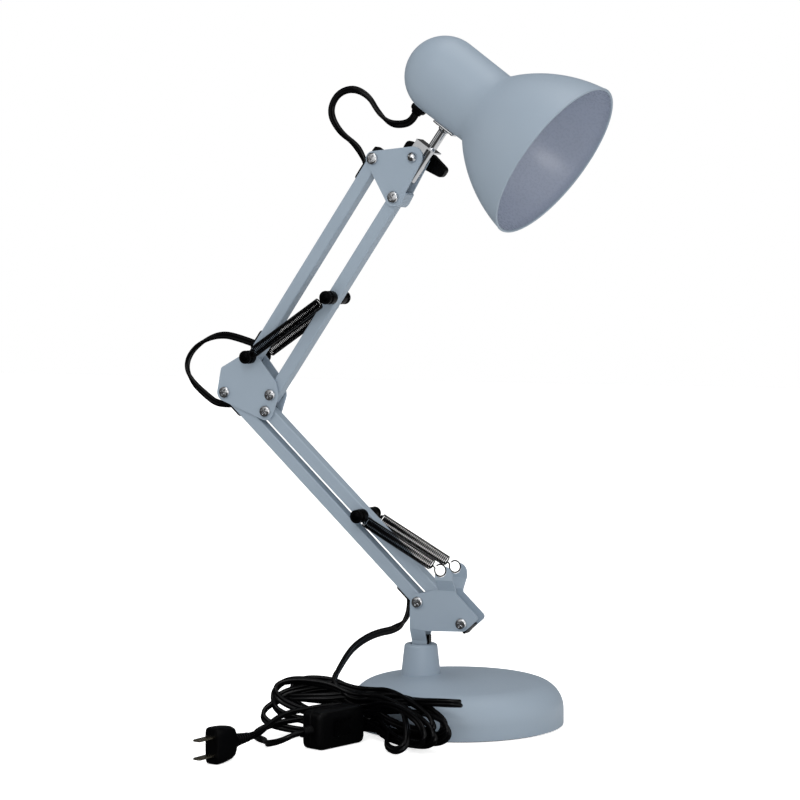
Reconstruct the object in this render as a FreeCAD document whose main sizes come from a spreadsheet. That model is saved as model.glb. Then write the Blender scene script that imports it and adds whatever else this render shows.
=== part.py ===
import FreeCAD
import Part
import Sketcher
import math
import os
import re
from FreeCAD import Placement, Rotation, Vector

# Architect lamp on a round weighted base, millimetres.
# Origin at the centre of the base's underside, +Z up, +X the way the shade reaches out,
# -Y the side that shows the screw heads. The whole linkage stands in the XZ plane.

doc = FreeCAD.newDocument("ArchitectLamp")
sheet = doc.addObject("Spreadsheet::Sheet", "Sizes")

# Driving sizes: name, value, what it is
SIZES = (
    ("base_radius", 81.5, "base, outer radius at the table"),
    ("base_wall", 12.0, "base, height of the upright side wall"),
    ("base_shoulder", 20.5, "base, radius of the big shoulder"),
    ("base_crown", 36.0, "base, height of the crown"),
    ("base_foot", 0.8, "base, gap between the cover's edge and the table"),
    ("cover_wall", 1.2, "base, sheet thickness of the cover"),
    ("weight_height", 9.0, "base, thickness of the iron weight"),
    ("pad_height", 2.0, "base, thickness of the foam pad"),
    ("pad_inset", 2.2, "base, pad edge inside the cover's outside"),
    ("fit_gap", 0.3, "gap left between pieces that lie side by side"),
    ("running_gap", 0.05, "radial play of a pin in its hole"),
    ("boss_offset", 30.5, "boss axis left of the base centre"),
    ("boss_foot_radius", 15.2, "boss, radius where it meets the cover"),
    ("boss_top_radius", 12.8, "boss, radius at the top"),
    ("boss_top", 58.6, "boss, height of the top above the table"),
    ("boss_depth", 27.0, "boss, height of its lower end inside the cover"),
    ("boss_round", 2.2, "boss, rounding of the top edge"),
    ("boss_bore_radius", 8.3, "boss, radius of the bore"),
    ("bush_top", 50.5, "swivel bush, height of its top"),
    ("pin_radius", 5.0, "swivel pin, radius"),
    ("pin_end", 22.5, "swivel pin, height of its lower end"),
    ("collar_height", 1.4, "swivel pin, thickness of the collar that rides on the bush"),
    ("collar_radius", 7.6, "swivel pin, radius of that collar"),
    ("tang_length", 13.5, "swivel pin, height of the flat tang above the collar"),
    ("tang_thickness", 4.0, "swivel pin, thickness of the tang"),
    ("tang_front", 8.0, "swivel pin, reach of the tang in front of its axis"),
    ("clip_radius", 7.6, "retaining ring, outer radius"),
    ("clip_height", 1.2, "retaining ring, thickness"),
    ("groove_depth", 0.8, "swivel pin, depth of the ring groove"),
    ("plate", 1.2, "bracket plates, sheet thickness"),
    ("plate_gap", 12.0, "bracket plates, space between the two"),
    ("tongue_width", 12.4, "lower bracket, width of the tongue on the tang"),
    ("tongue_end", 52.4, "lower bracket, height of the tongue's lower end"),
    ("tongue_bend", 61.0, "lower bracket, height where the tongue starts to spread"),
    ("tongue_spread", 70.5, "lower bracket, height where the plates are full width apart"),
    ("pivot_margin", 1.8, "lower bracket, plate beyond the rear screw's head"),
    ("toe_round", 3.0, "lower bracket, radius of the toe in front of the front pivot"),
    ("lower_x", -29.9, "lower rear pivot, place along X"),
    ("lower_z", 91.1, "lower rear pivot, height"),
    ("lower_length", 232.0, "lower arm, pivot to pivot"),
    ("lower_angle", 137.1, "lower arm, angle from +X"),
    ("lower_link", 39.5, "lower bracket, distance between its two arm pivots"),
    ("lower_link_angle", -21.4, "lower bracket, angle of the line through those pivots"),
    ("elbow_rise", 36.9, "elbow, lower rear pivot to upper rear pivot"),
    ("elbow_rise_angle", 50.1, "elbow, angle of that line"),
    ("elbow_back", 18.0, "elbow, corner of the plates above the lower rear pivot"),
    ("elbow_front_x", 3.0, "elbow, corner of the plates beyond the upper front pivot along X"),
    ("elbow_front_z", 9.0, "elbow, that corner above the pivot"),
    ("upper_length", 187.5, "upper arm, pivot to pivot"),
    ("upper_angle", 54.85, "upper arm, angle from +X"),
    ("upper_link", 34.5, "elbow and head bracket, distance between the two upper arm pivots"),
    ("upper_link_angle", -59.4, "elbow and head bracket, angle of that line"),
    ("tilt_x", 33.7, "head bracket, rear pivot to tilt bolt along X"),
    ("tilt_z", 0.2, "head bracket, rear pivot to tilt bolt in height"),
    ("web_radius", 7.0, "head bracket, radius of the plates round the front pivot"),
    ("web_angle", 64.0, "head bracket, angle below the level where the folded web starts"),
    ("web_reach", 10.5, "head bracket, how far that web runs on along the plates' edge"),
    ("tilt_margin", 3.6, "head bracket, plate beyond the radius of a screw head at the tilt bolt"),
    ("tilt_head_radius", 4.2, "tilt bolt, radius of its domed head"),
    ("tube", 10.0, "arms, side of the square tube"),
    ("tube_wall", 1.0, "arms, wall of the tube"),
    ("tube_round", 1.2, "arms, corner radius of the tube"),
    ("tube_end", 4.2, "arms, tube beyond the pivot"),
    ("slot_start", 5.5, "cord slot, start from the pivot"),
    ("slot_length", 15.0, "cord slot, length"),
    ("slot_width", 6.8, "cord slot, width"),
    ("screw_radius", 2.5, "pivot screws, radius of the shank"),
    ("screw_head_radius", 4.7, "pivot screws, radius of the head"),
    ("screw_head_height", 2.6, "pivot screws, height of the head"),
    ("nut_radius", 4.6, "pivot nuts, radius across corners"),
    ("nut_height", 3.2, "pivot nuts, height"),
    ("washer_radius", 4.6, "pivot washers, radius"),
    ("washer_gap", 0.1, "pivot washers, play beside the tube"),
    ("plug_length", 7.0, "end plugs, length inside the tube"),
    ("plug_play", 0.25, "end plugs, gap to the tube's inside"),
    ("plug_cap", 2.0, "end plugs, thickness outside the tube"),
    ("spool_radius", 5.25, "spring spools, flange radius"),
    ("spool_core", 3.6, "spring spools, radius of the groove"),
    ("spool_reach", 17.0, "spring spools, outer face from the middle plane"),
    ("spool_flange", 2.0, "spring spools, thickness of the outer flange"),
    ("spool_groove", 3.2, "spring spools, width of the groove"),
    ("spool_bolt", 2.0, "spool bolts, radius"),
    ("spool_head", 3.4, "spool bolts, head radius"),
    ("spool_head_height", 1.4, "spool bolts, head height"),
    ("spring_plane", 13.4, "springs, distance from the middle plane"),
    ("spring_radius", 4.5, "springs, outer radius of the coil"),
    ("spring_wire", 1.2, "springs, wire diameter"),
    ("spring_lead", 7.2, "springs, hook centre to the first coil"),
    ("ear_loop_x", 22.0, "lower bracket, rear pivot to spring loop along X"),
    ("ear_loop_z", 26.5, "lower bracket, rear pivot to spring loop in height"),
    ("ear_radius", 7.2, "lower bracket, radius of the ear"),
    ("ear_bite", 5.4, "lower bracket, radius of the bite round the spring loop"),
    ("ear_lean_x", 2.9, "lower bracket, ear centre beyond the loop along X"),
    ("ear_lean_z", 4.1, "lower bracket, ear centre below the loop"),
    ("ear_bend", 8.5, "lower bracket, height taken by the outward bend"),
    ("tilt_along", 95.33, "shade, tilt bolt behind the mouth, along the shade's axis"),
    ("tilt_down", 63.02, "shade, tilt bolt below that axis"),
    ("head_pitch", 36.4, "shade, angle of its axis below the level"),
    ("mouth_radius", 64.9, "shade, outer radius of the mouth"),
    ("dome_radius", 118.0, "shade, radius of the spun dome in section"),
    ("dome_depth", 67.0, "shade, mouth to hood"),
    ("neck_radius", 29.9, "hood, radius where the shade joins"),
    ("hood_radius", 30.7, "hood, radius at the domed end"),
    ("hood_end", 142.7, "hood, end of the dome from the mouth"),
    ("shade_wall", 1.0, "shade, sheet thickness"),
    ("rim_roll", 2.4, "shade, width of the rolled rim"),
    ("rod_radius", 3.5, "chrome rod, radius"),
    ("rod_place", 88.9, "chrome rod, distance from the mouth"),
    ("rod_end", 80.0, "chrome rod, lower end from the shade's axis"),
    ("foot_length", 20.0, "rod foot, length along the hood"),
    ("foot_width", 9.0, "rod foot, width"),
    ("foot_height", 1.6, "rod foot, thickness"),
    ("saddle_rise", 12.6, "saddle, top plate above the tilt bolt"),
    ("saddle_length", 19.0, "saddle, length of the top plate"),
    ("saddle_wall", 1.2, "saddle, sheet thickness"),
    ("saddle_drop", 5.5, "saddle, cheeks below the tilt bolt"),
    ("cheek_length", 11.4, "saddle, width of a cheek along the shade's axis"),
    ("gland_place", 115.7, "cord gland, distance from the mouth"),
    ("gland_radius", 6.4, "cord gland, flange radius"),
    ("gland_height", 3.6, "cord gland, height of the flange"),
    ("gland_nose", 4.2, "cord gland, radius of the nose"),
    ("gland_nose_height", 2.4, "cord gland, height of the nose"),
    ("socket_radius", 18.0, "lamp socket, outer radius"),
    ("socket_front", 70.0, "lamp socket, front face from the mouth"),
    ("socket_back", 112.0, "lamp socket, back face from the mouth"),
    ("socket_thread", 13.25, "lamp socket, inner radius of the screw shell"),
    ("shell_wall", 0.5, "lamp socket, thickness of the screw shell"),
    ("shell_length", 24.0, "lamp socket, length of the screw shell"),
    ("well_spare", 2.5, "lamp socket, depth of its well behind the shell, with the cutter's overrun"),
    ("carrier_height", 1.5, "socket carrier, thickness"),
    ("vent_radius", 3.6, "socket carrier, radius of a vent"),
    ("vent_angle", 45.0, "socket carrier, angle of the first vent"),
    ("wing_reach", 20.5, "wing nut, hub to the end of a wing"),
    ("wing_root", 14.5, "wing nut, width of a wing at the hub"),
    ("wing_tip", 9.0, "wing nut, width of a wing near its end"),
    ("wing_round", 2.2, "wing nut, corner radius"),
    ("wing_height", 8.0, "wing nut, thickness of the wings"),
    ("hub_radius", 5.8, "wing nut, hub radius"),
    ("hub_height", 14.0, "wing nut, hub height"),
    ("wing_angle", 36.0, "wing nut, downward slope of the wings at rest"),
    ("cord", 5.4, "cord, diameter of the plain tube"),
    ("cord_gap", 0.1, "cord, gap at each end of a piece"),
    ("cord_tail", 3.0, "cord, stretch outside a slot that still rides on the arm"),
    ("lower_low_bend", 14.1, "cord in the lower arm, bend from the lower pivot"),
    ("lower_low_slope", 47.0, "cord in the lower arm, slope where it leaves the lower slot"),
    ("lower_high_bend", 14.9, "cord in the lower arm, bend from the elbow pivot"),
    ("lower_high_slope", 43.0, "cord in the lower arm, slope where it leaves the upper slot"),
    ("upper_low_bend", 10.1, "cord in the upper arm, bend from the elbow pivot"),
    ("upper_low_slope", 73.5, "cord in the upper arm, slope where it leaves the lower slot"),
    ("upper_high_bend", 11.5, "cord in the upper arm, bend from the head pivot"),
    ("upper_high_slope", 60.0, "cord in the upper arm, slope where it leaves the upper slot"),
    ("foot_drop", 11.0, "cord, straight drop below the lower arm's slot"),
    ("lead_straight", 6.5, "cord, straight stretch behind a strain relief"),
    ("hank_stub", 16.0, "cord, stretch of a lead inside the hank"),
    ("far_stub", 7.0, "cord, stretch between the switch's far end and the hank"),
    ("switch_length", 48.0, "inline switch, length"),
    ("switch_width", 28.0, "inline switch, width"),
    ("switch_height", 18.0, "inline switch, thickness"),
    ("switch_round", 3.0, "inline switch, corner radius"),
    ("switch_x", -41.6, "inline switch, near corner along X"),
    ("switch_clear", 64.5, "inline switch, near corner in front of the base's rim"),
    ("switch_turn", 74.0, "inline switch, angle of its length from +X"),
    ("relief_radius", 4.0, "strain reliefs, radius at the body"),
    ("relief_tip", 3.3, "strain reliefs, radius at the cord"),
    ("relief_length", 9.0, "strain reliefs, length"),
    ("relief_short", 3.5, "strain relief at the switch's far end, length"),
    ("plug_relief", 18.0, "mains plug, length of the strain relief"),
    ("plug_step", 6.5, "mains plug, radius of the relief's first step"),
    ("rocker_length", 16.0, "rocker, length"),
    ("rocker_width", 11.0, "rocker, width"),
    ("rocker_drop", 5.0, "rocker, depth inside the housing"),
    ("rocker_rise", 0.4, "rocker, middle of its face above the housing"),
    ("rocker_tilt", 7.0, "rocker, slope of each half of its face"),
    ("rocker_hinge", 1.5, "rocker, depth of its hinge inside the housing"),
    ("rocker_play", 1.0, "rocker, gap to the ends of its well"),
    ("rocker_pin", 0.9, "rocker, radius of its hinge pins"),
    ("rocker_pin_reach", 1.6, "rocker, hinge pins beyond its sides"),
    ("plug_body", 22.0, "mains plug, length of the body"),
    ("plug_width", 26.0, "mains plug, width of the body"),
    ("plug_height", 12.5, "mains plug, thickness of the body"),
    ("plug_x", -85.1, "mains plug, back of the body along X"),
    ("plug_clear", 114.4, "mains plug, back of the body in front of the base's rim"),
    ("plug_turn", 98.9, "mains plug, clockwise angle of its length from +X"),
    ("blade_length", 17.0, "mains plug, length of a blade"),
    ("blade_width", 6.3, "mains plug, width of a blade"),
    ("blade_thickness", 1.5, "mains plug, thickness of a blade"),
    ("blade_pitch", 12.7, "mains plug, distance between the blades"),
    ("overrun", 1.0, "how far a cutting tool passes the face it cuts"),
)
for row, (alias, number, meaning) in enumerate(SIZES, 1):
    sheet.set("A%d" % row, meaning)
    sheet.set("B%d" % row, str(number))
    sheet.setAlias("B%d" % row, alias)
doc.recompute()
ALIASES = {alias for alias, number, meaning in SIZES}


def link(text):
    """An expression of the sheet's names, as the document's objects read it."""
    def named(found):
        word = found.group()
        return "Sizes." + word if word in ALIASES else word
    return re.sub(r"[A-Za-z_][A-Za-z_0-9]*", named, text)


def value(text):
    """The number that an expression of the sheet's names stands for."""
    found = sheet.evalExpression(link(str(text)))
    return float(getattr(found, "Value", found))


def bind(item, **props):
    """Bind properties of an object to expressions. A double underscore stands for a dot."""
    for name, text in props.items():
        item.setExpression(name.replace("__", "."), link(str(text)))


def put(item, x="0", y="0", z="0", turn=None, axis=(0, 1, 0)):
    """Place an object: base point and one turn in degrees, all bound to the sheet."""
    if turn is not None:
        item.Placement = Placement(Vector(), Rotation(Vector(*axis), value(turn)))
        item.setExpression("Placement.Rotation.Angle", link("1 deg * (%s)" % turn))
    bind(item, Placement__Base__x=x, Placement__Base__y=y, Placement__Base__z=z)
    return item


# Solids and booleans

def cylinder(name, radius, height, x="0", y="0", z="0", along="z"):
    """A cylinder from its base point along +X, +Y or +Z."""
    item = doc.addObject("Part::Cylinder", name)
    bind(item, Radius=radius, Height=height)
    if along == "y":
        return put(item, x, y, z, "90", (-1, 0, 0))
    if along == "x":
        return put(item, x, y, z, "90")
    return put(item, x, y, z)


def box(name, length, width, height, x="0", y="0", z="0"):
    """A box from its lowest corner."""
    item = doc.addObject("Part::Box", name)
    bind(item, Length=length, Width=width, Height=height)
    return put(item, x, y, z)


def fuse(name, parts):
    item = doc.addObject("Part::MultiFuse", name)
    item.Shapes = parts
    item.Refine = True
    return item


def cut(name, base, tools):
    item = doc.addObject("Part::Cut", name)
    item.Base = base
    item.Tool = tools[0] if len(tools) == 1 else fuse(name + "_tools", tools)
    item.Refine = True
    return item


def group(name, parts):
    """Several separate solids kept in one sub-part."""
    item = doc.addObject("Part::Compound", name)
    item.Links = parts
    return item


def mirrored(name, source):
    """The same piece on the far side of the middle plane."""
    item = doc.addObject("Part::Mirroring", name)
    item.Source = source
    item.Normal = Vector(0, 1, 0)
    return item


# Sketched bodies

def sketch_in(body, name, role):
    sketch = body.newObject("Sketcher::SketchObject", name)
    plane = [item for item in body.Origin.OriginFeatures if item.Role == role][0]
    sketch.AttachmentSupport = [(plane, "")]
    sketch.MapMode = "FlatFace"
    return sketch


def fix_point(sketch, geometry, point, x, y):
    """Hold one point of the sketch at bound distances from its origin."""
    for kind, text in (("DistanceX", x), ("DistanceY", y)):
        index = sketch.addConstraint(Sketcher.Constraint(kind, -1, 1, geometry, point, value(text)))
        sketch.setExpression("Constraints[%d]" % index, link(str(text)))


def fix_radius(sketch, geometry, text):
    index = sketch.addConstraint(Sketcher.Constraint("Radius", geometry, value(text)))
    sketch.setExpression("Constraints[%d]" % index, link(str(text)))


def add_circle(sketch, x, y, radius):
    circle = Part.Circle(Vector(value(x), value(y), 0), Vector(0, 0, 1), value(radius))
    index = sketch.addGeometry(circle, False)
    fix_point(sketch, index, 3, x, y)
    fix_radius(sketch, index, radius)


def add_hull(sketch, discs):
    """A closed outline round discs (x, y, radius) listed counterclockwise: tangent lines and arcs."""
    spots = [(Vector(value(x), value(y), 0), value(r)) for x, y, r in discs]
    normals = []
    for (here, r_here), (there, r_there) in zip(spots, spots[1:] + spots[:1]):
        along = there - here
        share = (r_here - r_there) / along.Length
        along.normalize()
        out = Vector(along.y, -along.x, 0)
        normals.append(along * share + out * math.sqrt(1 - share * share))
    arcs = []
    lines = []
    for index, (centre, radius) in enumerate(spots):
        before = normals[index - 1]
        after = normals[index]
        start = math.atan2(before.y, before.x)
        end = math.atan2(after.y, after.x)
        circle = Part.Circle(centre, Vector(0, 0, 1), radius)
        arcs.append(sketch.addGeometry(Part.ArcOfCircle(circle, start, end), False))
        target, r_target = spots[(index + 1) % len(spots)]
        line = Part.LineSegment(centre + after * radius, target + after * r_target)
        lines.append(sketch.addGeometry(line, False))
    for index, (x, y, radius) in enumerate(discs):
        fix_point(sketch, arcs[index], 3, x, y)
        fix_radius(sketch, arcs[index], radius)
    for index, line in enumerate(lines):
        following = arcs[(index + 1) % len(arcs)]
        sketch.addConstraint(Sketcher.Constraint("Tangent", arcs[index], 2, line, 1))
        sketch.addConstraint(Sketcher.Constraint("Tangent", line, 2, following, 1))


def add_outline(sketch, points):
    """A closed outline through bound points (x, y), or (x, y, arc radius, side) where an arc starts.

    Side 1 bulges to the right of the way to the next point, -1 to the left."""
    spots = [Vector(value(point[0]), value(point[1]), 0) for point in points]
    edges = []
    for index, point in enumerate(points):
        here = spots[index]
        there = spots[(index + 1) % len(spots)]
        if len(point) == 2:
            edges.append((sketch.addGeometry(Part.LineSegment(here, there), False), 1, 2))
            continue
        radius = value(point[2])
        chord = there - here
        half = chord.Length / 2
        out = Vector(chord.y, -chord.x, 0).normalize() * point[3]
        centre = (here + there) * 0.5 - out * math.sqrt(radius * radius - half * half)
        first = math.atan2(here.y - centre.y, here.x - centre.x)
        last = math.atan2(there.y - centre.y, there.x - centre.x)
        circle = Part.Circle(centre, Vector(0, 0, 1), radius)
        if point[3] > 0:
            arc = Part.ArcOfCircle(circle, first, last)
            edges.append((sketch.addGeometry(arc, False), 1, 2))
        else:
            arc = Part.ArcOfCircle(circle, last, first)
            edges.append((sketch.addGeometry(arc, False), 2, 1))
    for index, (edge, start, end) in enumerate(edges):
        following, start_following, end_following = edges[(index + 1) % len(edges)]
        sketch.addConstraint(Sketcher.Constraint("Coincident", edge, end, following, start_following))
    for index, point in enumerate(points):
        edge, start, end = edges[index]
        fix_point(sketch, edge, start, point[0], point[1])
        if len(point) > 2:
            fix_radius(sketch, edge, point[2])


def padded(name, role, length, draw, reverse=False, middle=False):
    """A body with one sketch padded; draw fills the sketch."""
    body = doc.addObject("PartDesign::Body", name)
    sketch = sketch_in(body, name + "_sketch", role)
    draw(sketch)
    pad = body.newObject("PartDesign::Pad", name + "_pad")
    pad.Profile = sketch
    pad.Reversed = reverse
    if middle:
        pad.SideType = "Symmetric"
    bind(pad, Length=length)
    sketch.Visibility = False
    return body


def pierced(body, role, draw):
    """Cut sketched holes through the whole body, both ways from the plane."""
    sketch = sketch_in(body, body.Name + "_holes", role)
    draw(sketch)
    doc.recompute()
    before = body.Shape.Volume
    pocket = body.newObject("PartDesign::Pocket", body.Name + "_pocket")
    pocket.Profile = sketch
    pocket.Type = "ThroughAll"
    pocket.SideType = "Symmetric"
    doc.recompute()
    if pocket.Shape.Volume >= before:
        raise RuntimeError(body.Name + ": the holes cut nothing")
    return body


def revolved(name, points):
    """A body turned about its own Z axis from an outline (radius, height)."""
    body = doc.addObject("PartDesign::Body", name)
    sketch = sketch_in(body, name + "_sketch", "XZ_Plane")
    add_outline(sketch, points)
    turn = body.newObject("PartDesign::Revolution", name + "_turn")
    turn.Profile = sketch
    turn.ReferenceAxis = (sketch, ["V_Axis"])
    turn.Angle = 360
    sketch.Visibility = False
    return body


def sheet_plate(name, discs, holes, inner):
    """A flat plate on the near side: its inner face lies at y = -inner."""
    def draw(sketch):
        add_hull(sketch, discs)
        for x, y, radius in holes:
            add_circle(sketch, x, y, radius)
    body = padded(name, "XZ_Plane", "plate", draw)
    return put(body, y="-(%s)" % inner)


# Pivots of the two parallelograms, as expressions of the sheet

def plus(point, length, angle):
    x, z = point
    return ("(%s + %s * cos(%s))" % (x, length, angle), "(%s + %s * sin(%s))" % (z, length, angle))


L1 = ("lower_x", "lower_z")
L2 = plus(L1, "lower_link", "lower_link_angle")
P1 = plus(L1, "lower_length", "lower_angle")
P2 = plus(P1, "lower_link", "lower_link_angle")
P4 = plus(P1, "elbow_rise", "elbow_rise_angle")
P3 = plus(P4, "upper_link", "upper_link_angle")
H1 = plus(P4, "upper_length", "upper_angle")
H2 = plus(P3, "upper_length", "upper_angle")
H3 = ("(%s + tilt_x)" % H1[0], "(%s + tilt_z)" % H1[1])
SPOOL_LOW = plus(L2, "lower_length / 2", "lower_angle")
SPOOL_HIGH = plus(P3, "upper_length / 2", "upper_angle")
LOOP_EAR = ("(lower_x + ear_loop_x)", "(lower_z + ear_loop_z)")
HALF_GAP = "plate_gap / 2"
PLATE_FACE = "(plate_gap / 2 + plate)"
HOLE = "screw_radius + running_gap"
TUBE_SIDE = "(tube / 2)"
ARM_TURN = (0, -1, 0)


def spot(point):
    """A pivot as a point of the middle plane."""
    return Vector(value(point[0]), 0, value(point[1]))


parts = []


def keep(label, item):
    """Give a finished sub-part the name of its file."""
    item.Label = label
    parts.append(item)
    return item


# Base: spun steel cover with a conical boss, iron weight, foam pad

def dome(inset):
    """The cover's section from the crown to the side wall, moved inwards by an inset."""
    slope = "2 * atan((base_crown - base_wall - base_shoulder) / (base_radius - base_shoulder))"
    shoulder = "(base_shoulder - %s)" % inset
    crown_radius = "((base_radius - base_shoulder) / sin(%s) + %s)" % (slope, shoulder)
    edge = ("base_radius - base_shoulder + %s * sin(%s)" % (shoulder, slope),
            "base_wall + %s * cos(%s)" % (shoulder, slope))
    return (("0", "base_crown - %s" % inset, crown_radius, -1),
            (edge[0], edge[1], shoulder, -1),
            ("base_radius - %s" % inset, "base_wall"))


outer = dome("0")
inner = dome("cover_wall")
crown_in, shoulder_in, wall_in = inner
cover_shell = revolved("cover_shell", (
    *outer,
    ("base_radius", "base_foot"),
    ("base_radius - cover_wall", "base_foot"),
    (wall_in[0], wall_in[1], shoulder_in[2], 1),
    (shoulder_in[0], shoulder_in[1], crown_in[2], 1),
    (crown_in[0], crown_in[1]),
))
boss = revolved("boss", (
    ("boss_bore_radius", "boss_depth"),
    ("boss_foot_radius", "boss_depth"),
    ("boss_foot_radius", "base_crown - cover_wall"),
    ("boss_top_radius", "boss_top - boss_round", "boss_round", 1),
    ("boss_top_radius - boss_round", "boss_top"),
    ("boss_bore_radius", "boss_top"),
))
put(boss, x="-boss_offset")
boss_bore = cylinder("boss_bore", "boss_bore_radius", "boss_top", x="-boss_offset", z="pad_height")
keep("base_cover", fuse("base_cover", [cut("cover_open", cover_shell, [boss_bore]), boss]))

keep("base_weight", cylinder("base_weight", "base_radius - cover_wall - fit_gap", "weight_height",
                             z="pad_height"))
keep("base_pad", cylinder("base_pad", "base_radius - pad_inset", "pad_height"))

bush_outer = cylinder("bush_outer", "boss_bore_radius - running_gap", "bush_top - boss_depth",
                      x="-boss_offset", z="boss_depth")
bush_bore = cylinder("bush_bore", "pin_radius + running_gap", "bush_top",
                     x="-boss_offset", z="boss_depth - overrun")
keep("swivel_bush", cut("swivel_bush", bush_outer, [bush_bore]))

# Lower bracket: swivel pin with a flat tang, two bent plates with flared ears

shank = cylinder("pin_shank", "pin_radius", "bush_top - pin_end + fit_gap", x="-boss_offset", z="pin_end")
collar = cylinder("pin_collar", "collar_radius", "collar_height", x="-boss_offset", z="bush_top + fit_gap")
tang = box("pin_tang", "tongue_width", "tang_thickness", "tang_length + collar_height",
           x="-boss_offset - tongue_width / 2", y="-tang_thickness / 2", z="bush_top + fit_gap")
nose = box("pin_nose", "tang_front", "tang_thickness",
           "bush_top + fit_gap + tang_length + collar_height - boss_top - overrun",
           x="-boss_offset", y="-tang_thickness / 2", z="boss_top + overrun")
ring_place = "boss_depth - fit_gap - clip_height"
ring_groove = cut("ring_groove",
                  cylinder("groove_outer", "pin_radius + overrun", "clip_height",
                           x="-boss_offset", z=ring_place),
                  [cylinder("groove_inner", "pin_radius - groove_depth", "clip_height",
                            x="-boss_offset", z=ring_place)])
pin = cut("pin_grooved", fuse("pin_body", [shank, collar, tang, nose]), [ring_groove])
ring_hole = cylinder("ring_hole", "pin_radius - groove_depth + running_gap",
                     "clip_height + 2 * overrun", x="-boss_offset", z=ring_place + " - overrun")
ring_disc = cylinder("ring_disc", "clip_radius", "clip_height - 2 * running_gap",
                     x="-boss_offset", z=ring_place + " + running_gap")
keep("swivel_pin", group("swivel_pin", [pin, cut("swivel_ring", ring_disc, [ring_hole])]))

TONGUE_X = "(-boss_offset)"
EAR = ("(%s + ear_lean_x)" % LOOP_EAR[0], "(%s - ear_lean_z)" % LOOP_EAR[1])
EAR_FACE = "(spring_plane - plate / 2)"
EAR_FOOT = "(%s - ear_radius / 2)" % EAR[1]
lower_outline = (
    (TONGUE_X + " - tongue_width / 2 + 2 * plate", "tongue_spread + 2 * plate", "2 * plate"),
    (TONGUE_X + " + tongue_width / 2 + plate", "tongue_spread", "plate"),
    (L2[0], L2[1], "screw_head_radius + plate"),
    (L2[0] + " + tube", L2[1] + " + tube / 2", "toe_round"),
    (EAR[0] + " + ear_radius - plate", EAR_FOOT + " - ear_bend - 2 * plate", "plate"),
    (L1[0], L1[1], "screw_head_radius + pivot_margin"),
)
ear_root = (
    (L1[0], L1[1], "screw_head_radius + pivot_margin"),
    (EAR[0] + " + ear_radius - plate", EAR_FOOT + " - ear_bend - 2 * plate", "plate"),
    (EAR[0] + " + ear_radius - plate", EAR_FOOT + " - ear_bend - plate / 2", "plate"),
    (EAR[0] + " - ear_radius + plate", EAR_FOOT + " - ear_bend - plate / 2", "plate"),
)
lower_main = sheet_plate("lower_main", lower_outline,
                         ((L1[0], L1[1], HOLE), (L2[0], L2[1], HOLE)), HALF_GAP)
lower_root = sheet_plate("lower_root", ear_root, ((L1[0], L1[1], HOLE),), HALF_GAP)


def strip(name, path, width, x):
    """A bent strip: a path of (distance from the middle plane, height), one plate thick."""
    def draw(sketch):
        inside = [("-(%s)" % y, z) for y, z in path]
        outside = [("-(%s + plate)" % y, z) for y, z in path]
        add_outline(sketch, tuple(inside + outside[::-1]))
    return put(padded(name, "YZ_Plane", width, draw, middle=True), x=x)


lower_tongue = strip("lower_tongue", (
    ("tang_thickness / 2", "tongue_end"),
    ("tang_thickness / 2", "tongue_bend"),
    (HALF_GAP, "tongue_spread"),
    (HALF_GAP, "tongue_spread + 2 * plate"),
), "tongue_width", TONGUE_X)
ear_bend = strip("ear_flare", (
    (HALF_GAP, EAR_FOOT + " - ear_bend - plate"),
    (HALF_GAP, EAR_FOOT + " - ear_bend"),
    (EAR_FACE, EAR_FOOT),
    (EAR_FACE, EAR_FOOT + " + plate"),
), "2 * ear_radius", EAR[0])
ear_tab = sheet_plate("ear_tab", (
    (EAR[0] + " - ear_radius + plate", EAR_FOOT + " + plate", "plate"),
    (EAR[0] + " + ear_radius - plate", EAR_FOOT + " + plate", "plate"),
    (EAR[0], EAR[1], "ear_radius"),
), (), EAR_FACE)
bite = cylinder("ear_bite_tool", "ear_bite", "spool_reach", x=LOOP_EAR[0], y="-spool_reach",
                z=LOOP_EAR[1], along="y")
ear = cut("ear", ear_tab, [bite])
near = fuse("lower_plate_near", [lower_main, lower_root, lower_tongue, ear_bend, ear])
keep("lower_plate_near", near)
keep("lower_plate_far", mirrored("lower_plate_far", near))

# Fasteners: each body has its own group of screws, nuts and washers

def screw(name, point):
    """Pan head on the near plate, shank through to the far nut."""
    head = cylinder(name + "_head", "screw_head_radius", "screw_head_height", x=point[0],
                    y="-(%s) - screw_head_height" % PLATE_FACE, z=point[1], along="y")
    shaft = cylinder(name + "_shaft", "screw_radius", "2 * (%s) + nut_height + plate" % PLATE_FACE,
                     x=point[0], y="-(%s)" % PLATE_FACE, z=point[1], along="y")
    return fuse(name, [head, shaft])


def nut(name, point):
    prism = doc.addObject("Part::Prism", name + "_hexagon")
    prism.Polygon = 6
    bind(prism, Circumradius="nut_radius", Height="nut_height")
    put(prism, point[0], PLATE_FACE, point[1], "90", (-1, 0, 0))
    hole = cylinder(name + "_hole", HOLE, "nut_height + 2 * overrun", x=point[0],
                    y=PLATE_FACE + " - overrun", z=point[1], along="y")
    return cut(name, prism, [hole])


def washers(name, point):
    """One washer on each side of the tube."""
    thickness = "(plate_gap - tube) / 2 - 2 * washer_gap"
    out = []
    for side, y in (("near", "-plate_gap / 2 + washer_gap"), ("far", "tube / 2 + washer_gap")):
        disc = cylinder(name + side + "_disc", "washer_radius", thickness, x=point[0], y=y,
                        z=point[1], along="y")
        hole = cylinder(name + side + "_hole", HOLE, "2 * plate_gap", x=point[0], y="-plate_gap",
                        z=point[1], along="y")
        out.append(cut(name + side, disc, [hole]))
    return out


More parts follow.
